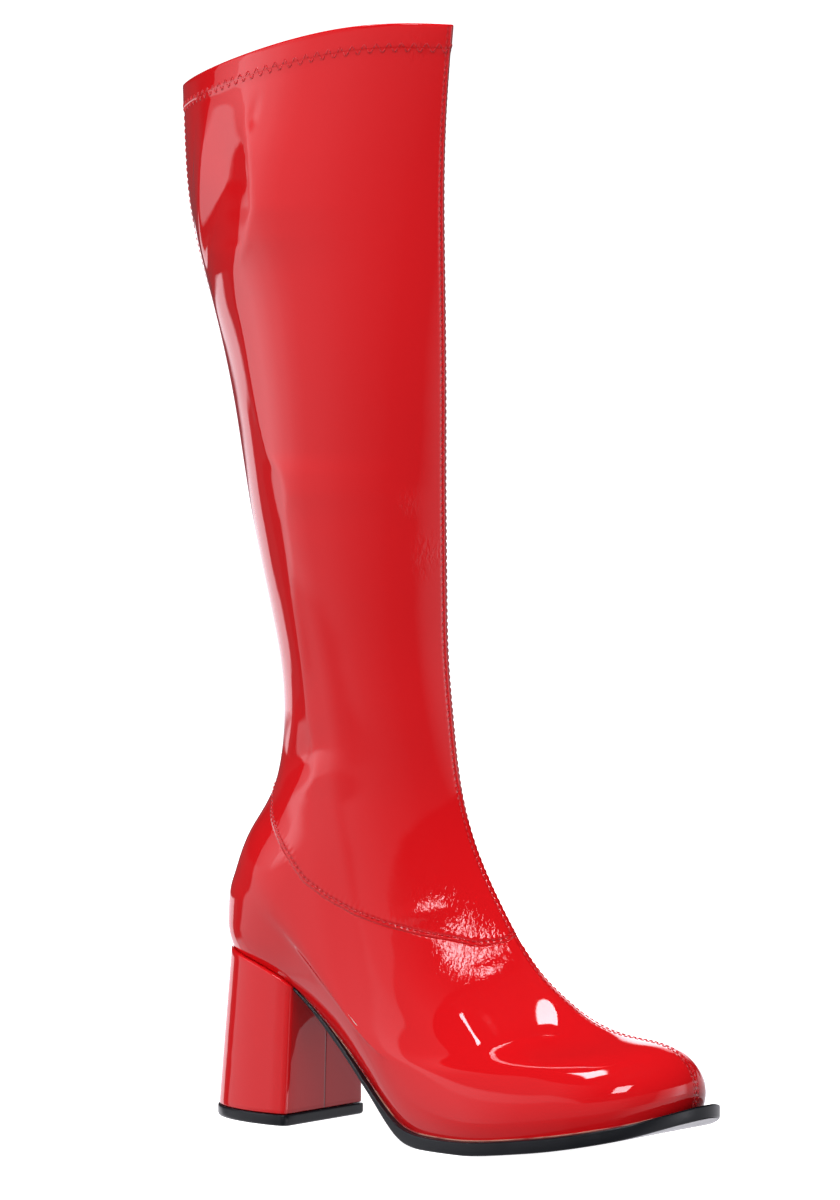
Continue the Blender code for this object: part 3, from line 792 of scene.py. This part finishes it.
def patent_finish():
    """Red patent: glossy smooth leather, puckered by its seams and crumpled in places, its stitch rows
    painted darker as painted shade in their sunken grooves.
    """
    finish = Finish("red_patent_leather")
    front, back, edge, vamp, run, climb = (finish.field(name) for name in SKIN_FIELDS)
    on_vamp = vamp.step(0.0, -0.0004)
    on_shaft = 1.0 - on_vamp

    # the shaft lies over the vamp at their seam, and both are pulled in at the stitches
    lap = on_shaft * LAP_STEP
    row = (vamp - VAMP_ROW).bell(0.0007)
    tug = 0.5 + 0.5 * (run * STITCH_TURNS).cos()
    seam_dip = (row * (0.6 + 0.4 * tug)) * VAMP_ROW_DIP + vamp.bell(0.0004) * VAMP_LINE_DIP
    pucker = (vamp - VAMP_ROW).bell(0.0028) * tug * PUCKER_DIP

    # closed seam and two rows of stitches down the front of the vamp
    rows = (front - TOE_SEAM_APART / 2).bell(0.0005)
    toe_tug = 0.5 + 0.5 * (climb * STITCH_TURNS).cos()
    toe_line = front.bell(0.00035) * TOE_LINE_DIP
    toe_seam = (toe_line + rows * (0.5 + 0.5 * toe_tug) * TOE_ROW_DIP) * on_vamp
    shaft_seam = front.bell(0.0004) * SHAFT_LINE_DIP * on_shaft
    shaft_seam = shaft_seam + back.bell(0.0004) * SHAFT_LINE_DIP
    side_rows = (front - SHAFT_SEAM_APART / 2).bell(0.0006) * on_shaft
    side_rows = side_rows + (back - SHAFT_SEAM_APART / 2).bell(0.0006)
    shaft_rows = side_rows * (0.4 + 0.6 * toe_tug) * SHAFT_ROW_DIP

    # the turned hem shows as a faint step
    hem = edge.step(HEM_LINE + 0.0004, HEM_LINE - 0.0004) * HEM_STEP

    grain = finish.noise(240.0, detail=2.0) * GRAIN_DEPTH
    swell = finish.noise(38.0, detail=1.0) * SKIN_WAVE
    place = finish.place()
    spot = [finish.apart(place, axis) for axis in "XYZ"]
    crumple = finish.noise(360.0, distortion=1.5, vector=finish.place(Scale=(1.3, 1.3, 0.7)))
    for at, reach, deep in CRUMPLES:
        off = [along - centre for along, centre in zip(spot, at)]
        near = sum((gap * gap for gap in off[1:]), off[0] * off[0]) / reach**2
        swell = swell + crumple * near.maths("EXPONENT", -near) * deep
    height = lap - seam_dip - pucker - toe_seam - shaft_seam - shaft_rows + hem + grain + swell
    normal = finish.bump(height)
    shade = finish.noise(9.0, detail=3.0)
    # painted shade: the stitch rows are coloured darker, standing for the shade that falls in their
    # sunken grooves
    seams = (row + rows * on_vamp + side_rows).at_most(1.0)
    colour = finish.mix(shade, PATENT_RED, PATENT_DEEP)
    colour = finish.mix(seams * 0.35, colour, STITCH_GROOVE_SHADE_RED)
    wear = finish.noise(60.0, detail=5.0, roughness=0.65).step(0.60, 0.78)
    return finish.set(
        Base_Color=colour,
        Roughness=PATENT_ROUGHNESS + 0.03 * wear,
        Normal=normal,
        IOR=1.5,
    )


def cover_finish():
    """The same patent drawn tight over the heel."""
    finish = Finish("red_patent_cover")
    grain = finish.noise(240.0, detail=2.0) * GRAIN_DEPTH
    swell = finish.noise(70.0, detail=1.5) * COVER_WAVE
    place = finish.place()
    across = abs(finish.apart(place, "Y"))
    ahead = finish.apart(place, "X")
    on_breast = ahead.step(BREAST_LINE - 0.0035, BREAST_LINE - 0.0022)
    seam = across.bell(0.0005) * on_breast * BREAST_SEAM_DIP
    normal = finish.bump(grain + swell - seam)
    colour = finish.mix(finish.noise(14.0, detail=3.0), PATENT_RED, PATENT_DEEP)
    colour = finish.mix(across.bell(0.0005) * on_breast * 0.8, colour, BREAST_SEAM_RED)
    return finish.set(
        Base_Color=colour,
        Roughness=PATENT_ROUGHNESS,
        Normal=normal,
        IOR=1.5,
    )


def rubber_finish():
    """Black sole rubber, satin, rubbed a little lighter in patches and streaks."""
    finish = Finish("satin_black_rubber")
    grain = finish.noise(900.0, detail=3.0)
    scuff = finish.noise(70.0, detail=6.0, roughness=0.7).step(0.55, 0.75)
    streak = finish.noise(
        60.0, detail=4.0, vector=finish.place(Scale=(0.25, 0.25, 3.0))
    ).step(0.5, 0.8)
    colour = finish.mix(0.5 * scuff + 0.3 * streak, (0.005, 0.006, 0.008), (0.016, 0.019, 0.024))
    return finish.set(
        Base_Color=colour,
        Roughness=0.30 + 0.15 * scuff + 0.08 * streak,
        Normal=finish.bump(grain * 0.00003 + streak * 0.00003),
        Specular_IOR_Level=0.35,
    )


def lining_finish():
    """Pale knitted backing of the patent, seen inside the shaft."""
    finish = Finish("pale_lining_cloth")
    place = finish.place()
    down = finish.apart(place, "Z")
    ribs = 0.5 + 0.5 * (down * (2 * math.pi / RIB_PITCH)).cos()
    fuzz = finish.noise(700.0, detail=3.0)
    mottle = finish.noise(30.0, detail=4.0)
    colour = finish.mix(mottle, (0.62, 0.50, 0.47), (0.70, 0.60, 0.56))
    colour = finish.mix(fuzz * 0.35, colour, (0.50, 0.38, 0.36))
    return finish.set(
        Base_Color=colour,
        Roughness=0.86,
        Normal=finish.bump(ribs * 0.00008 + fuzz * 0.00012),
        Sheen_Weight=0.25,
        Specular_IOR_Level=0.2,
    )


def sock_finish():
    """Insole sock: pale coated cloth with fine pores."""
    finish = Finish("insole_sock")
    pores = finish.node(
        "ShaderNodeTexVoronoi", output="Distance", Vector=finish.place(), Scale=900.0
    )
    mottle = finish.noise(24.0, detail=4.0)
    colour = finish.mix(mottle, (0.58, 0.50, 0.45), (0.68, 0.60, 0.54))
    return finish.set(
        Base_Color=colour,
        Roughness=0.62 + 0.1 * mottle,
        Normal=finish.bump(pores * 0.00006),
        Specular_IOR_Level=0.35,
    )


def thread_finish():
    """Red sewing thread with its twist, the crests of the twist painted lighter as a painted highlight.
    """
    finish = Finish("red_thread")
    place = finish.place()
    twist = (
        finish.apart(place, "X") * 1.3 + finish.apart(place, "Y") + finish.apart(place, "Z") * 1.7
    )
    ply = 0.5 + 0.5 * (twist * (2 * math.pi / PLY_PITCH)).cos()
    # painted highlight: the twist's crests are coloured lighter, standing for the light they catch
    colour = finish.mix(ply, THREAD_RED, THREAD_CREST_HIGHLIGHT)
    return finish.set(
        Base_Color=colour,
        Roughness=0.45,
        Normal=finish.bump(ply * 0.00004),
        Coat_Weight=0.35,
        Coat_Roughness=0.2,
    )


def glue_finish():
    """Thin line of cement squeezed out above the sole."""
    finish = Finish("cement_line")
    patch = finish.noise(90.0, detail=4.0).step(0.42, 0.62)
    colour = finish.mix(patch, (0.26, 0.012, 0.014), (0.42, 0.17, 0.13))
    return finish.set(Base_Color=colour, Roughness=0.45, Coat_Weight=0.4)


# Pieces
def make_skin(points, places):
    """Foot, shaft and the rolled edge of the collar, in one sheet."""
    normals = normals_of(points)
    push = fold_depths(points)
    push += HEM_FOLD * soft_step(places["edge"], HEM_LINE + 0.0016, HEM_LINE)
    shaped = points + normals * push[..., None]
    lip = []
    edge, out = shaped[-1], normals_of(shaped)[-1]
    down = np.array([0, 0, -1.0])
    for turn in np.linspace(0, math.pi, LIP_STEPS + 1)[1:]:
        inward = LIP_ROUND * (1 - math.cos(turn))
        lip.append(edge - out * inward - down * LIP_ROUND * math.sin(turn))
    rim = lip[-1]
    for drop in (0.25, 0.6, 1.0):
        lip.append(rim + down * LIP_DROP * drop)
    tuck = shaped[0] - normals[0] * SKIN_TUCK
    tuck[:, 2] = shaped[0, :, 2]
    table = np.concatenate([tuck[None], shaped, np.array(lip)])
    fields = {}
    for name in SKIN_FIELDS:
        values = places[name]
        last = values[-1:]
        fields[name] = np.concatenate([values[:1], values, np.repeat(last, len(lip), axis=0)])
    mesh = turned_out(sheet_mesh(table, fields))
    return finished("patent_upper", mesh), shaped


def make_lining():
    """Pale lining inside the shaft and foot, up to the turned hem."""
    points = surface(LINING_ROWS, LINING_COLUMNS, top_gap=LINING_DROP)
    points += normals_of(points) * (fold_depths(points) - WALL)[..., None]
    mesh = turned_out(sheet_mesh(points), inside=True)
    return finished("lining", mesh)


def make_stitches(shaped, places):
    """Every row of stitching on the outside, as one piece for each seam."""
    normals = normals_of(shaped)
    columns = shaped.shape[1]
    front = (columns - 1) // 2
    top = int(np.nonzero(places["vamp"][:, front] < -0.001)[0][-1])
    last = int(np.nonzero(places["edge"][:, front] > HEM_LINE + 0.002)[0][-1])

    def across(span):
        rows = crossing_rows(places["vamp"], VAMP_ROW, span)
        return between(shaped, rows, span), between(normals, rows, span)

    def beside(seam, column, side, apart, start, end):
        path, out = side_line(shaped, normals, places[seam], column, side, apart / 2)
        return path[start:end], out[start:end]

    front_sides = (("front", front, -1), ("front", front, 1))
    back_sides = (("back", 0, 1), ("back", columns - 1, -1))
    on_shaft = [beside(*side, SHAFT_SEAM_APART, top + 2, last) for side in front_sides]
    on_shaft += [beside(*side, SHAFT_SEAM_APART, 4, last) for side in back_sides]
    seams = {
        "vamp_seam_stitches": [across(range(front + 1)), across(range(front, columns))],
        "toe_seam_stitches": [beside(*side, TOE_SEAM_APART, 1, top) for side in front_sides],
        "shaft_seam_stitches": on_shaft,
    }
    made = []
    for name, lines in seams.items():
        mesh = bmesh.new()
        for path, out in lines:
            stitch_line(mesh, path, out)
        made.append(finished(name, mesh))
    return [*made, make_zigzag(shaped, normals, places)]


def side_line(shaped, normals, gap, base, side, distance):
    """A line up the boot at a distance to one side of a seam's column."""
    steps = np.arange(0, SEARCH_COLUMNS)
    columns = base + side * steps
    picked = [np.interp(distance, gap[row, columns], steps) for row in range(len(shaped))]
    at = base + side * np.array(picked)
    rows = np.arange(len(shaped))
    return between(shaped, rows, at), between(normals, rows, at)


def make_zigzag(shaped, normals, places):
    """The zigzag that holds the turned hem, all the way round the collar."""
    mesh = bmesh.new()
    columns = np.arange(shaped.shape[1])
    rows = crossing_rows(-places["edge"], -HEM_LINE, columns)
    middle = between(shaped, rows, columns)
    travel = travel_of(middle)
    teeth = int(travel[-1] / ZIGZAG_PITCH)
    all_rows = np.arange(len(shaped))
    corners = []
    for tooth in range(2 * teeth + 1):
        at = travel[-1] * tooth / (2 * teeth)
        column = np.interp(at, travel, columns)
        depth = HEM_LINE + ZIGZAG_HEIGHT / 2 * (1 if tooth % 2 else -1)
        line = between(places["edge"][..., None], all_rows, np.full(len(all_rows), column))
        row = np.interp(-depth, -line[:, 0], all_rows)
        corners.append((row, column))
    for (row_a, column_a), (row_b, column_b) in zip(corners, corners[1:]):
        for start, end in ZIGZAG_STITCHES:
            ends = []
            for share in (start, end):
                row = row_a + (row_b - row_a) * share
                column = column_a + (column_b - column_a) * share
                ends.append(Vector(between(shaped, row, column)))
            normal = Vector(between(normals, (row_a + row_b) / 2, (column_a + column_b) / 2))
            place_stitch(mesh, ends[0], ends[1], normal, STITCH_WIDTH * 1.1)
    return finished("hem_zigzag", mesh)


def sole_outline(side):
    """One side of the sole's outline, from the breast line to the toe."""
    line = section_side(feather_section(), side)
    along = (line[:, 0] - HEEL_POINT) / FOOT_LENGTH
    to_toe = np.clip((along - 0.75) / 0.2, 0, 1)
    flange = SIDE_FLANGE + (TOE_FLANGE - SIDE_FLANGE) * to_toe
    flange *= np.clip((along - 0.15) / 0.25, 0, 1)
    line = inset_outline(line, side, -flange)
    start = BREAST_LINE + GAP
    keep = line[:, 0] > start
    first = [[np.interp(start, line[:, 0], line[:, k]) for k in range(3)]]
    return np.concatenate([first, line[keep]])


def sole_thickness(x):
    along = (x - HEEL_POINT) / FOOT_LENGTH
    to_arch = np.clip((along - 0.2) / 0.1, 0, 1)
    thin = BREAST_THICKNESS + (ARCH_THICKNESS - BREAST_THICKNESS) * to_arch
    full = soft_step(along, 0.40, 0.52)
    return thin + (SOLE_THICKNESS - GAP - thin) * full


def sheet_under_foot(lines, steps, bars, lift):
    """A sheet laid to the underside of the last, from its outer line to its inner line."""
    outer, inner = (spread(line, steps) for line in lines)
    share = np.linspace(0, 1, bars + 1)[None, :, None]
    table = outer[:, None, :] * (1 - share) + inner[:, None, :] * share
    height = last_bottom_height(table[..., 0].reshape(-1)).reshape(table.shape[:2])
    table[..., 2] = height + lift
    return sheet_mesh(table)


def make_sole():
    """Outsole: a sheet across its outline, pulled down to its thickness, edges rounded."""
    lines = [sole_outline(side) for side in (OUTER_SIDE, INNER_SIDE)]
    mesh = sheet_under_foot(lines, SOLE_STEPS, SOLE_BARS, -GAP)
    bmesh.ops.recalc_face_normals(mesh, faces=mesh.faces)
    if sum(f.normal.z for f in mesh.faces) < 0:
        bmesh.ops.reverse_faces(mesh, faces=mesh.faces)
    made = bmesh.ops.extrude_face_region(mesh, geom=list(mesh.faces))
    lower = [v for v in made["geom"] if isinstance(v, bmesh.types.BMVert)]
    bmesh.ops.reverse_faces(mesh, faces=mesh.faces)
    xs = np.array([v.co.x for v in lower])
    heights = last_bottom_height(xs) - GAP
    for vert, height, deep in zip(lower, heights, sole_thickness(xs)):
        vert.co.z = max(height - deep, 0.0)
    bmesh.ops.recalc_face_normals(mesh, faces=mesh.faces)
    round_edges(mesh, SOLE_ROUND, 3)
    return finished("outsole_unit", mesh)


def heel_plan(side, share_down, grow=0.0):
    """One side of the heel in plan, from the middle of the breast round to the back."""
    front = BREAST_LINE - BREAST_SLOPE * share_down + grow
    back = HEEL_POINT - (HEEL_POINT + HEEL_BACK) * share_down - grow
    half = (HEEL_SEAT_WIDTH + (HEEL_WIDTH - HEEL_SEAT_WIDTH) * share_down) / 2 + grow
    widest = front - WIDEST_PLACE * (front - back)
    breast = np.linspace(0, 1, BREAST_STEPS + 1)[:-1]
    corner = np.linspace(0, math.pi / 2, CORNER_STEPS + 1)
    corner_x = front - HEEL_CORNER * (1 - np.cos(corner))
    corner_y = half * BREAST_CORNER_SHARE - HEEL_CORNER * (1 - np.sin(corner))
    flank = np.linspace(0, 1, FLANK_STEPS + 1)[1:]
    flank_x = front - HEEL_CORNER - (front - HEEL_CORNER - widest) * flank
    flank_y = half * (BREAST_CORNER_SHARE + (1 - BREAST_CORNER_SHARE) * np.sin(flank * math.pi / 2))
    turn = np.linspace(0, math.pi / 2, ROUND_STEPS + 1)[1:]
    turn_x = widest - (widest - back) * np.sin(turn) ** (2 / HEEL_FULLNESS)
    turn_y = half * np.maximum(np.cos(turn), 0) ** (2 / HEEL_FULLNESS)
    x = np.concatenate([np.full(BREAST_STEPS, front), corner_x, flank_x, turn_x])
    y = np.concatenate([breast * corner_y[0], corner_y, flank_y, turn_y])
    y[-1] = 0.0
    return np.stack([x, side * y, np.zeros_like(x)], axis=1)


def heel_ring(share_down, grow=0.0):
    outer, inner = (heel_plan(side, share_down, grow) for side in (OUTER_SIDE, INNER_SIDE))
    return np.concatenate([outer, inner[-2:0:-1]])


def stack_of_rings(rings):
    """A closed block: one ring of vertices, pulled from level to level, then capped."""
    mesh = bmesh.new()
    count = len(rings[0])
    made = bmesh.ops.create_circle(mesh, segments=count, radius=1)
    row = list(made["verts"])
    loop = list(mesh.edges)
    for vert, point in zip(row, rings[0]):
        vert.co = point
    bottom = loop
    for ring in rings[1:]:
        made = bmesh.ops.extrude_edge_only(mesh, edges=loop)
        new = [g for g in made["geom"] if isinstance(g, bmesh.types.BMVert)]
        loop = [g for g in made["geom"] if isinstance(g, bmesh.types.BMEdge)]
        loop = [e for e in loop if e.verts[0] in new and e.verts[1] in new]
        mesh.verts.index_update()
        order = sorted(new, key=lambda v: v.index)
        for vert, point in zip(order, ring):
            vert.co = point
    bmesh.ops.contextual_create(mesh, geom=bottom)
    bmesh.ops.contextual_create(mesh, geom=loop)
    bmesh.ops.recalc_face_normals(mesh, faces=mesh.faces)
    return mesh


def make_heel():
    """Heel block in its patent cover, its top cut to the curve of the seat."""
    bottom = LIFT_THICKNESS + GAP
    rings = []
    for share_down in np.linspace(1, 0, HEEL_LEVELS):
        ring = heel_ring(share_down)
        seat = last_bottom_height(ring[:, 0]) - GAP
        ring[:, 2] = seat + (bottom - seat) * share_down
        rings.append(ring)
    mesh = stack_of_rings(rings)
    round_edges(mesh, HEEL_ROUND, 3)
    bmesh.ops.triangulate(mesh, faces=[f for f in mesh.faces if len(f.verts) > 4])
    return finished("heel_cover", mesh)


def make_lift():
    """Top piece under the heel."""
    rings = []
    for height, grow in LIFT_EDGE:
        ring = heel_ring(1.0, grow)
        ring[:, 2] = height
        rings.append(ring)
    mesh = stack_of_rings(rings)
    bmesh.ops.triangulate(mesh, faces=[f for f in mesh.faces if len(f.verts) > 4])
    return finished("heel_top_piece", mesh)


def make_sock():
    """Insole sock inside the boot, on the insole's own outline."""
    section = feather_section()
    lines = [section_side(section, side, WALL + SOCK_EASE) for side in (OUTER_SIDE, INNER_SIDE)]
    mesh = sheet_under_foot(lines, SOCK_STEPS, SOCK_BARS, GAP)
    made = bmesh.ops.extrude_face_region(mesh, geom=list(mesh.faces))
    for vert in made["geom"]:
        if isinstance(vert, bmesh.types.BMVert):
            vert.co.z += INSOLE_THICKNESS
    bmesh.ops.recalc_face_normals(mesh, faces=mesh.faces)
    round_edges(mesh, SOCK_ROUND, 2)
    return finished("insole_sock", mesh)


def make_cement():
    """A fine bead where the upper meets the sole."""
    section = feather_section()
    lines = [
        spread(section_side(section, side, -0.0002), BEAD_STEPS) for side in (OUTER_SIDE, INNER_SIDE)
    ]
    path = np.concatenate([lines[0], lines[1][-2::-1]])
    ahead = np.nonzero(path[:, 0] > BREAST_LINE + 0.004)[0]
    path = path[ahead[0] : ahead[-1] + 1]
    turn = np.linspace(0, 2 * math.pi, 7)
    run = np.gradient(path, axis=0)
    run /= np.linalg.norm(run, axis=1, keepdims=True)
    up = np.array([0, 0, 1.0])
    across = np.cross(run, up)
    from_start = np.arange(len(path))
    radius = BEAD_RADIUS * np.minimum(1, np.minimum(from_start, from_start[::-1]) / 8)
    rings = path[:, None, :] + radius[:, None, None] * (
        across[:, None, :] * np.cos(turn)[None, :, None] + up * np.sin(turn)[None, :, None]
    )
    mesh = sheet_mesh(rings)
    bmesh.ops.recalc_face_normals(mesh, faces=mesh.faces)
    return finished("cement_line", mesh)


def dress(piece, material, slot, *nodes):
    """Gives a piece its material and its place in the frame."""
    piece.data.materials.clear()
    piece.data.materials.append(material)
    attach(piece, "root")
    if nodes:
        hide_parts(*nodes)


patent = patent_finish()
cover = cover_finish()
rubber = rubber_finish()
thread = thread_finish()
skin_points = surface(SKIN_ROWS, SKIN_COLUMNS)
skin_fields = skin_places(skin_points)
skin, shaped_points = make_skin(skin_points, skin_fields)
dress(skin, patent, "red_patent", "upper")
dress(make_lining(), lining_finish(), "pale_lining")
for stitches in make_stitches(shaped_points, skin_fields):
    dress(stitches, thread, "red_patent")
dress(make_sole(), rubber, "black_sole", "outsole")
dress(make_heel(), cover, "red_patent", "heel_block")
dress(make_lift(), rubber, "black_sole", "heel_lift")
dress(make_sock(), sock_finish(), "pale_lining", "insole")
dress(make_cement(), glue_finish(), "red_patent")


# Studio
STAGE_X = 0.06
STAGE_Z = 0.22
FLOOR_REACH = 4.0
COVE_RADIUS = 1.5
FLOOR_WALL_TOP = 4.5
SKY_PEAK = 20.0
PANEL_PEAK = 4.0
DIM_ROOM = 0.03
LIGHT_TINT = (0.95, 0.93, 1.0)

# The camera that was fitted to the photo
CAMERA_PLACE = (1.6298, -1.9157, 0.3576)
CAMERA_AIM = (0.05651, 0.02719, 0.23291)
CAMERA_LENS = 168.54
CAMERA_FILM = 36.0

# Brightness round the room and of the table: each a direction in degrees, where 0 faces the
# outer side and 90 the toe, and a strength
WALL_STOPS = (
    (-180, 1.1), (-158, 1.2), (-146, 3.0), (-140, 3.0), (-134, 1.8), (-131, 0.05),
    (-86, 0.05), (-84, 0.8), (-50, 0.9), (-35, 1.0), (-28, 0.85), (-15, 0.50),
    (0, 0.38), (30, 0.33), (45, 0.16), (57, 0.12), (63, 0.6), (75, 1.2),
    (90, 3.0), (100, 3.0), (112, 0.8), (180, 1.1),
)  # fmt: skip
TABLE_STOPS = (
    (-180, 0.9), (-158, 1.0), (-140, 2.2), (-130, 1.5), (-102, 1.6), (-100, 0.1),
    (-85, 0.1), (-82, 0.8), (-60, 0.8), (-30, 0.5), (-10, 0.3), (5, 0.15),
    (35, 0.15), (55, 0.6), (90, 1.2), (120, 0.7), (180, 0.9),
)  # fmt: skip
CEILING_STOPS = ((-66, 0.10), (-60, 0.40), (0, 0.40), (10, 0.27))
BRINK_STOPS = ((-94, -0.061), (-92, -0.20))

# Brightness round the panel that stands at the left
LIGHT_STOPS = (
    (-82, 0.5), (-70, 1.0), (-60, 1.5), (-50, 1.25), (-40, 0.7), (-28, 0.35), (0, 0.35),
    (20, 0.1), (30, 0.0),
)  # fmt: skip

# Lights overhead, by the direction they shine from: its x and y, how far its length is turned,
# half its length and width, its soft edge and its strength
SKY_BOXES = (
    (-0.11, -0.36, -50, 0.155, 0.05, 0.02, 20.0),
    (-0.46, 0.72, -60, 0.10, 0.12, 0.05, 3.0),
    (0.385, -0.70, -62, 0.055, 0.055, 0.015, 14.0),
    (-0.36, 0.74, 0, 0.22, 0.14, 0.08, 2.5),
)

# Lights that only the colour sees: the direction each shines from, how far off and how strong
SOFT_BOX_SIZE = 2.0
SOFT_BOXES = (
    ("light_left", -75, 4, 2.8, 31),
    ("light_low", -70, -28, 2.8, 26),
    ("light_front", 25, 5, 2.8, 46),
    ("light_top", 30, 65, 3.6, 125),
    ("light_inner", 170, 20, 2.8, 44),
)


def make_floor():
    """A pale floor that turns up into a pale wall all round."""
    mesh = bmesh.new()
    turns = np.linspace(0, math.pi / 2, 9)
    cove = [
        (FLOOR_REACH + COVE_RADIUS * math.sin(a), COVE_RADIUS - COVE_RADIUS * math.cos(a)) for a in turns
    ]
    profile = [(0.0, 0.0), *cove, (FLOOR_REACH + COVE_RADIUS, FLOOR_WALL_TOP)]
    verts = [mesh.verts.new((r, 0, z)) for r, z in profile]
    edges = [mesh.edges.new(pair) for pair in zip(verts, verts[1:])]
    bmesh.ops.spin(
        mesh, geom=verts + edges, axis=(0, 0, 1), cent=(0, 0, 0), angle=2 * math.pi, steps=64,
        use_merge=True,
    )
    bmesh.ops.remove_doubles(mesh, verts=mesh.verts, dist=1e-5)
    bmesh.ops.recalc_face_normals(mesh, faces=mesh.faces)
    floor = finished("studio_floor", mesh)
    finish = Finish("pale_floor")
    shade = finish.noise(2.0, detail=2.0)
    finish.set(
        Base_Color=finish.mix(shade, (0.84, 0.84, 0.85), (0.87, 0.87, 0.87)),
        Roughness=0.9,
        Specular_IOR_Level=0.1,
        Emission_Color=(1.0, 1.0, 1.0),
        Emission_Strength=1.0,
    )
    floor.data.materials.append(finish.material)
    floor.visible_glossy = False
    floor.visible_diffuse = False
    floor.visible_shadow = False


def make_light_wall(name, away, low, high, fade, stops):
    """A soft light as a curved panel standing round the boot, that only its gloss shows."""
    turns = np.radians(np.linspace(stops[0][0], stops[-1][0], 49))
    heights = np.linspace(low, high, 13)
    points = np.array(
        [[(STAGE_X + away * math.sin(a), -away * math.cos(a), z) for a in turns] for z in heights]
    )
    fields = {
        "turn": np.broadcast_to(np.degrees(turns), points.shape[:2]),
        "rise": np.broadcast_to(heights[:, None], points.shape[:2]),
    }
    panel = finished(name, turned_out(sheet_mesh(points, fields, weld=False), inside=True))
    finish = Finish(name)
    rise = finish.field("rise")
    window = rise.step(low, low + fade) * rise.step(high, high - fade)
    glow = ramp(finish.field("turn"), stops) * window
    finish.set(Base_Color=(0, 0, 0), Specular_IOR_Level=0.0, Roughness=1.0)
    tinted = finish.mix(glow / PANEL_PEAK, (0, 0, 0), LIGHT_TINT)
    finish.set(Emission_Color=tinted, Emission_Strength=PANEL_PEAK)
    clear = finish.node("ShaderNodeBsdfTransparent", Color=(1, 1, 1, 1))
    both = finish.tree.nodes.new("ShaderNodeAddShader")
    finish.tree.links.new(finish.shader.outputs[0], both.inputs[0])
    finish.tree.links.new(clear.socket, both.inputs[1])
    finish.tree.links.new(both.outputs[0], finish.tree.nodes["Material Output"].inputs[0])
    panel.data.materials.append(finish.material)
    panel.visible_camera = False
    panel.visible_diffuse = False
    panel.visible_shadow = False


def soft_box(name, turn, rise, away, power):
    """Soft light on the colour alone, placed by the direction it shines from."""
    a, e = math.radians(turn), math.radians(rise)
    towards = Vector((math.sin(a) * math.cos(e), -math.cos(a) * math.cos(e), math.sin(e)))
    data = bpy.data.lights.new(name, "AREA")
    data.shape = "RECTANGLE"
    data.size = SOFT_BOX_SIZE
    data.size_y = SOFT_BOX_SIZE
    data.energy = power
    data.specular_factor = 0.0
    lamp = bpy.data.objects.new(name, data)
    lamp.location = Vector((STAGE_X, 0, STAGE_Z)) + towards * away
    lamp.rotation_euler = towards.to_track_quat("Z", "Y").to_euler()
    lamp.visible_camera = False
    lamp.visible_glossy = False
    bpy.context.scene.collection.objects.link(lamp)


def ramp(value, stops):
    """A strength that runs through the stops, each a place and a strength, as a sum of steps."""
    level = stops[0][1]
    for (start, low), (end, high) in zip(stops, stops[1:]):
        if low != high:
            share = ((value - start) / (end - start)).at_least(0.0).at_most(1.0)
            level = share * (high - low) + level
    return level


def make_sky():
    """What the gloss sees: a dim room, pale walls low down, the pale table below them, and soft
    lights above."""
    world = bpy.data.worlds.new("studio")
    world.use_nodes = True
    bpy.context.scene.world = world
    world.cycles_visibility.diffuse = False
    world.cycles.sampling_method = "NONE"
    sky = Nodes(world.node_tree)
    place = sky.node("ShaderNodeTexCoord", output="Generated")
    x, y, z = (sky.apart(place, axis) for axis in "XYZ")
    turn = x.maths("ARCTAN2", x, -y) * (180 / math.pi)
    brink = ramp(turn, BRINK_STOPS)
    on_wall = (z - brink).step(-0.008, 0.008)
    under = z.step(-0.24, -0.30) * turn.step(-102, -98) * turn.step(-82, -86)
    table = (ramp(turn, TABLE_STOPS) + 0.75 * under) * (1.0 - on_wall)
    top = ramp(turn, CEILING_STOPS)
    wall = ramp(turn, WALL_STOPS) * (top - z).step(0.0, 0.04) * on_wall
    level = table + wall + DIM_ROOM
    for across, ahead, lean, long, wide, soft, strength in SKY_BOXES:
        turned = math.radians(lean)
        along = (x - across) * math.cos(turned) + (y - ahead) * math.sin(turned)
        aside = (y - ahead) * math.cos(turned) - (x - across) * math.sin(turned)
        inside = abs(along).step(long + soft, long) * abs(aside).step(wide + soft, wide)
        level = level + inside * z.step(0.0, 0.1) * strength
    shader = world.node_tree.nodes["Background"]
    plug(sky.tree, shader.inputs["Color"], sky.mix(level / SKY_PEAK, (0, 0, 0), LIGHT_TINT))
    shader.inputs["Strength"].default_value = SKY_PEAK


make_floor()
make_light_wall("left_wall", 0.55, 0.14, 0.62, 0.03, LIGHT_STOPS)
for box in SOFT_BOXES:
    soft_box(*box)
make_sky()
bpy.context.scene.view_settings.view_transform = "Standard"

camera_data = bpy.data.cameras.new("camera")
camera_data.sensor_fit = "VERTICAL"
camera_data.sensor_height = CAMERA_FILM
camera_data.sensor_width = CAMERA_FILM
camera_data.lens = CAMERA_LENS
camera = bpy.data.objects.new("camera", camera_data)
camera.location = CAMERA_PLACE
camera.rotation_euler = (Vector(CAMERA_AIM) - camera.location).to_track_quat("-Z", "Y").to_euler()
bpy.context.scene.collection.objects.link(camera)
bpy.context.scene.camera = camera
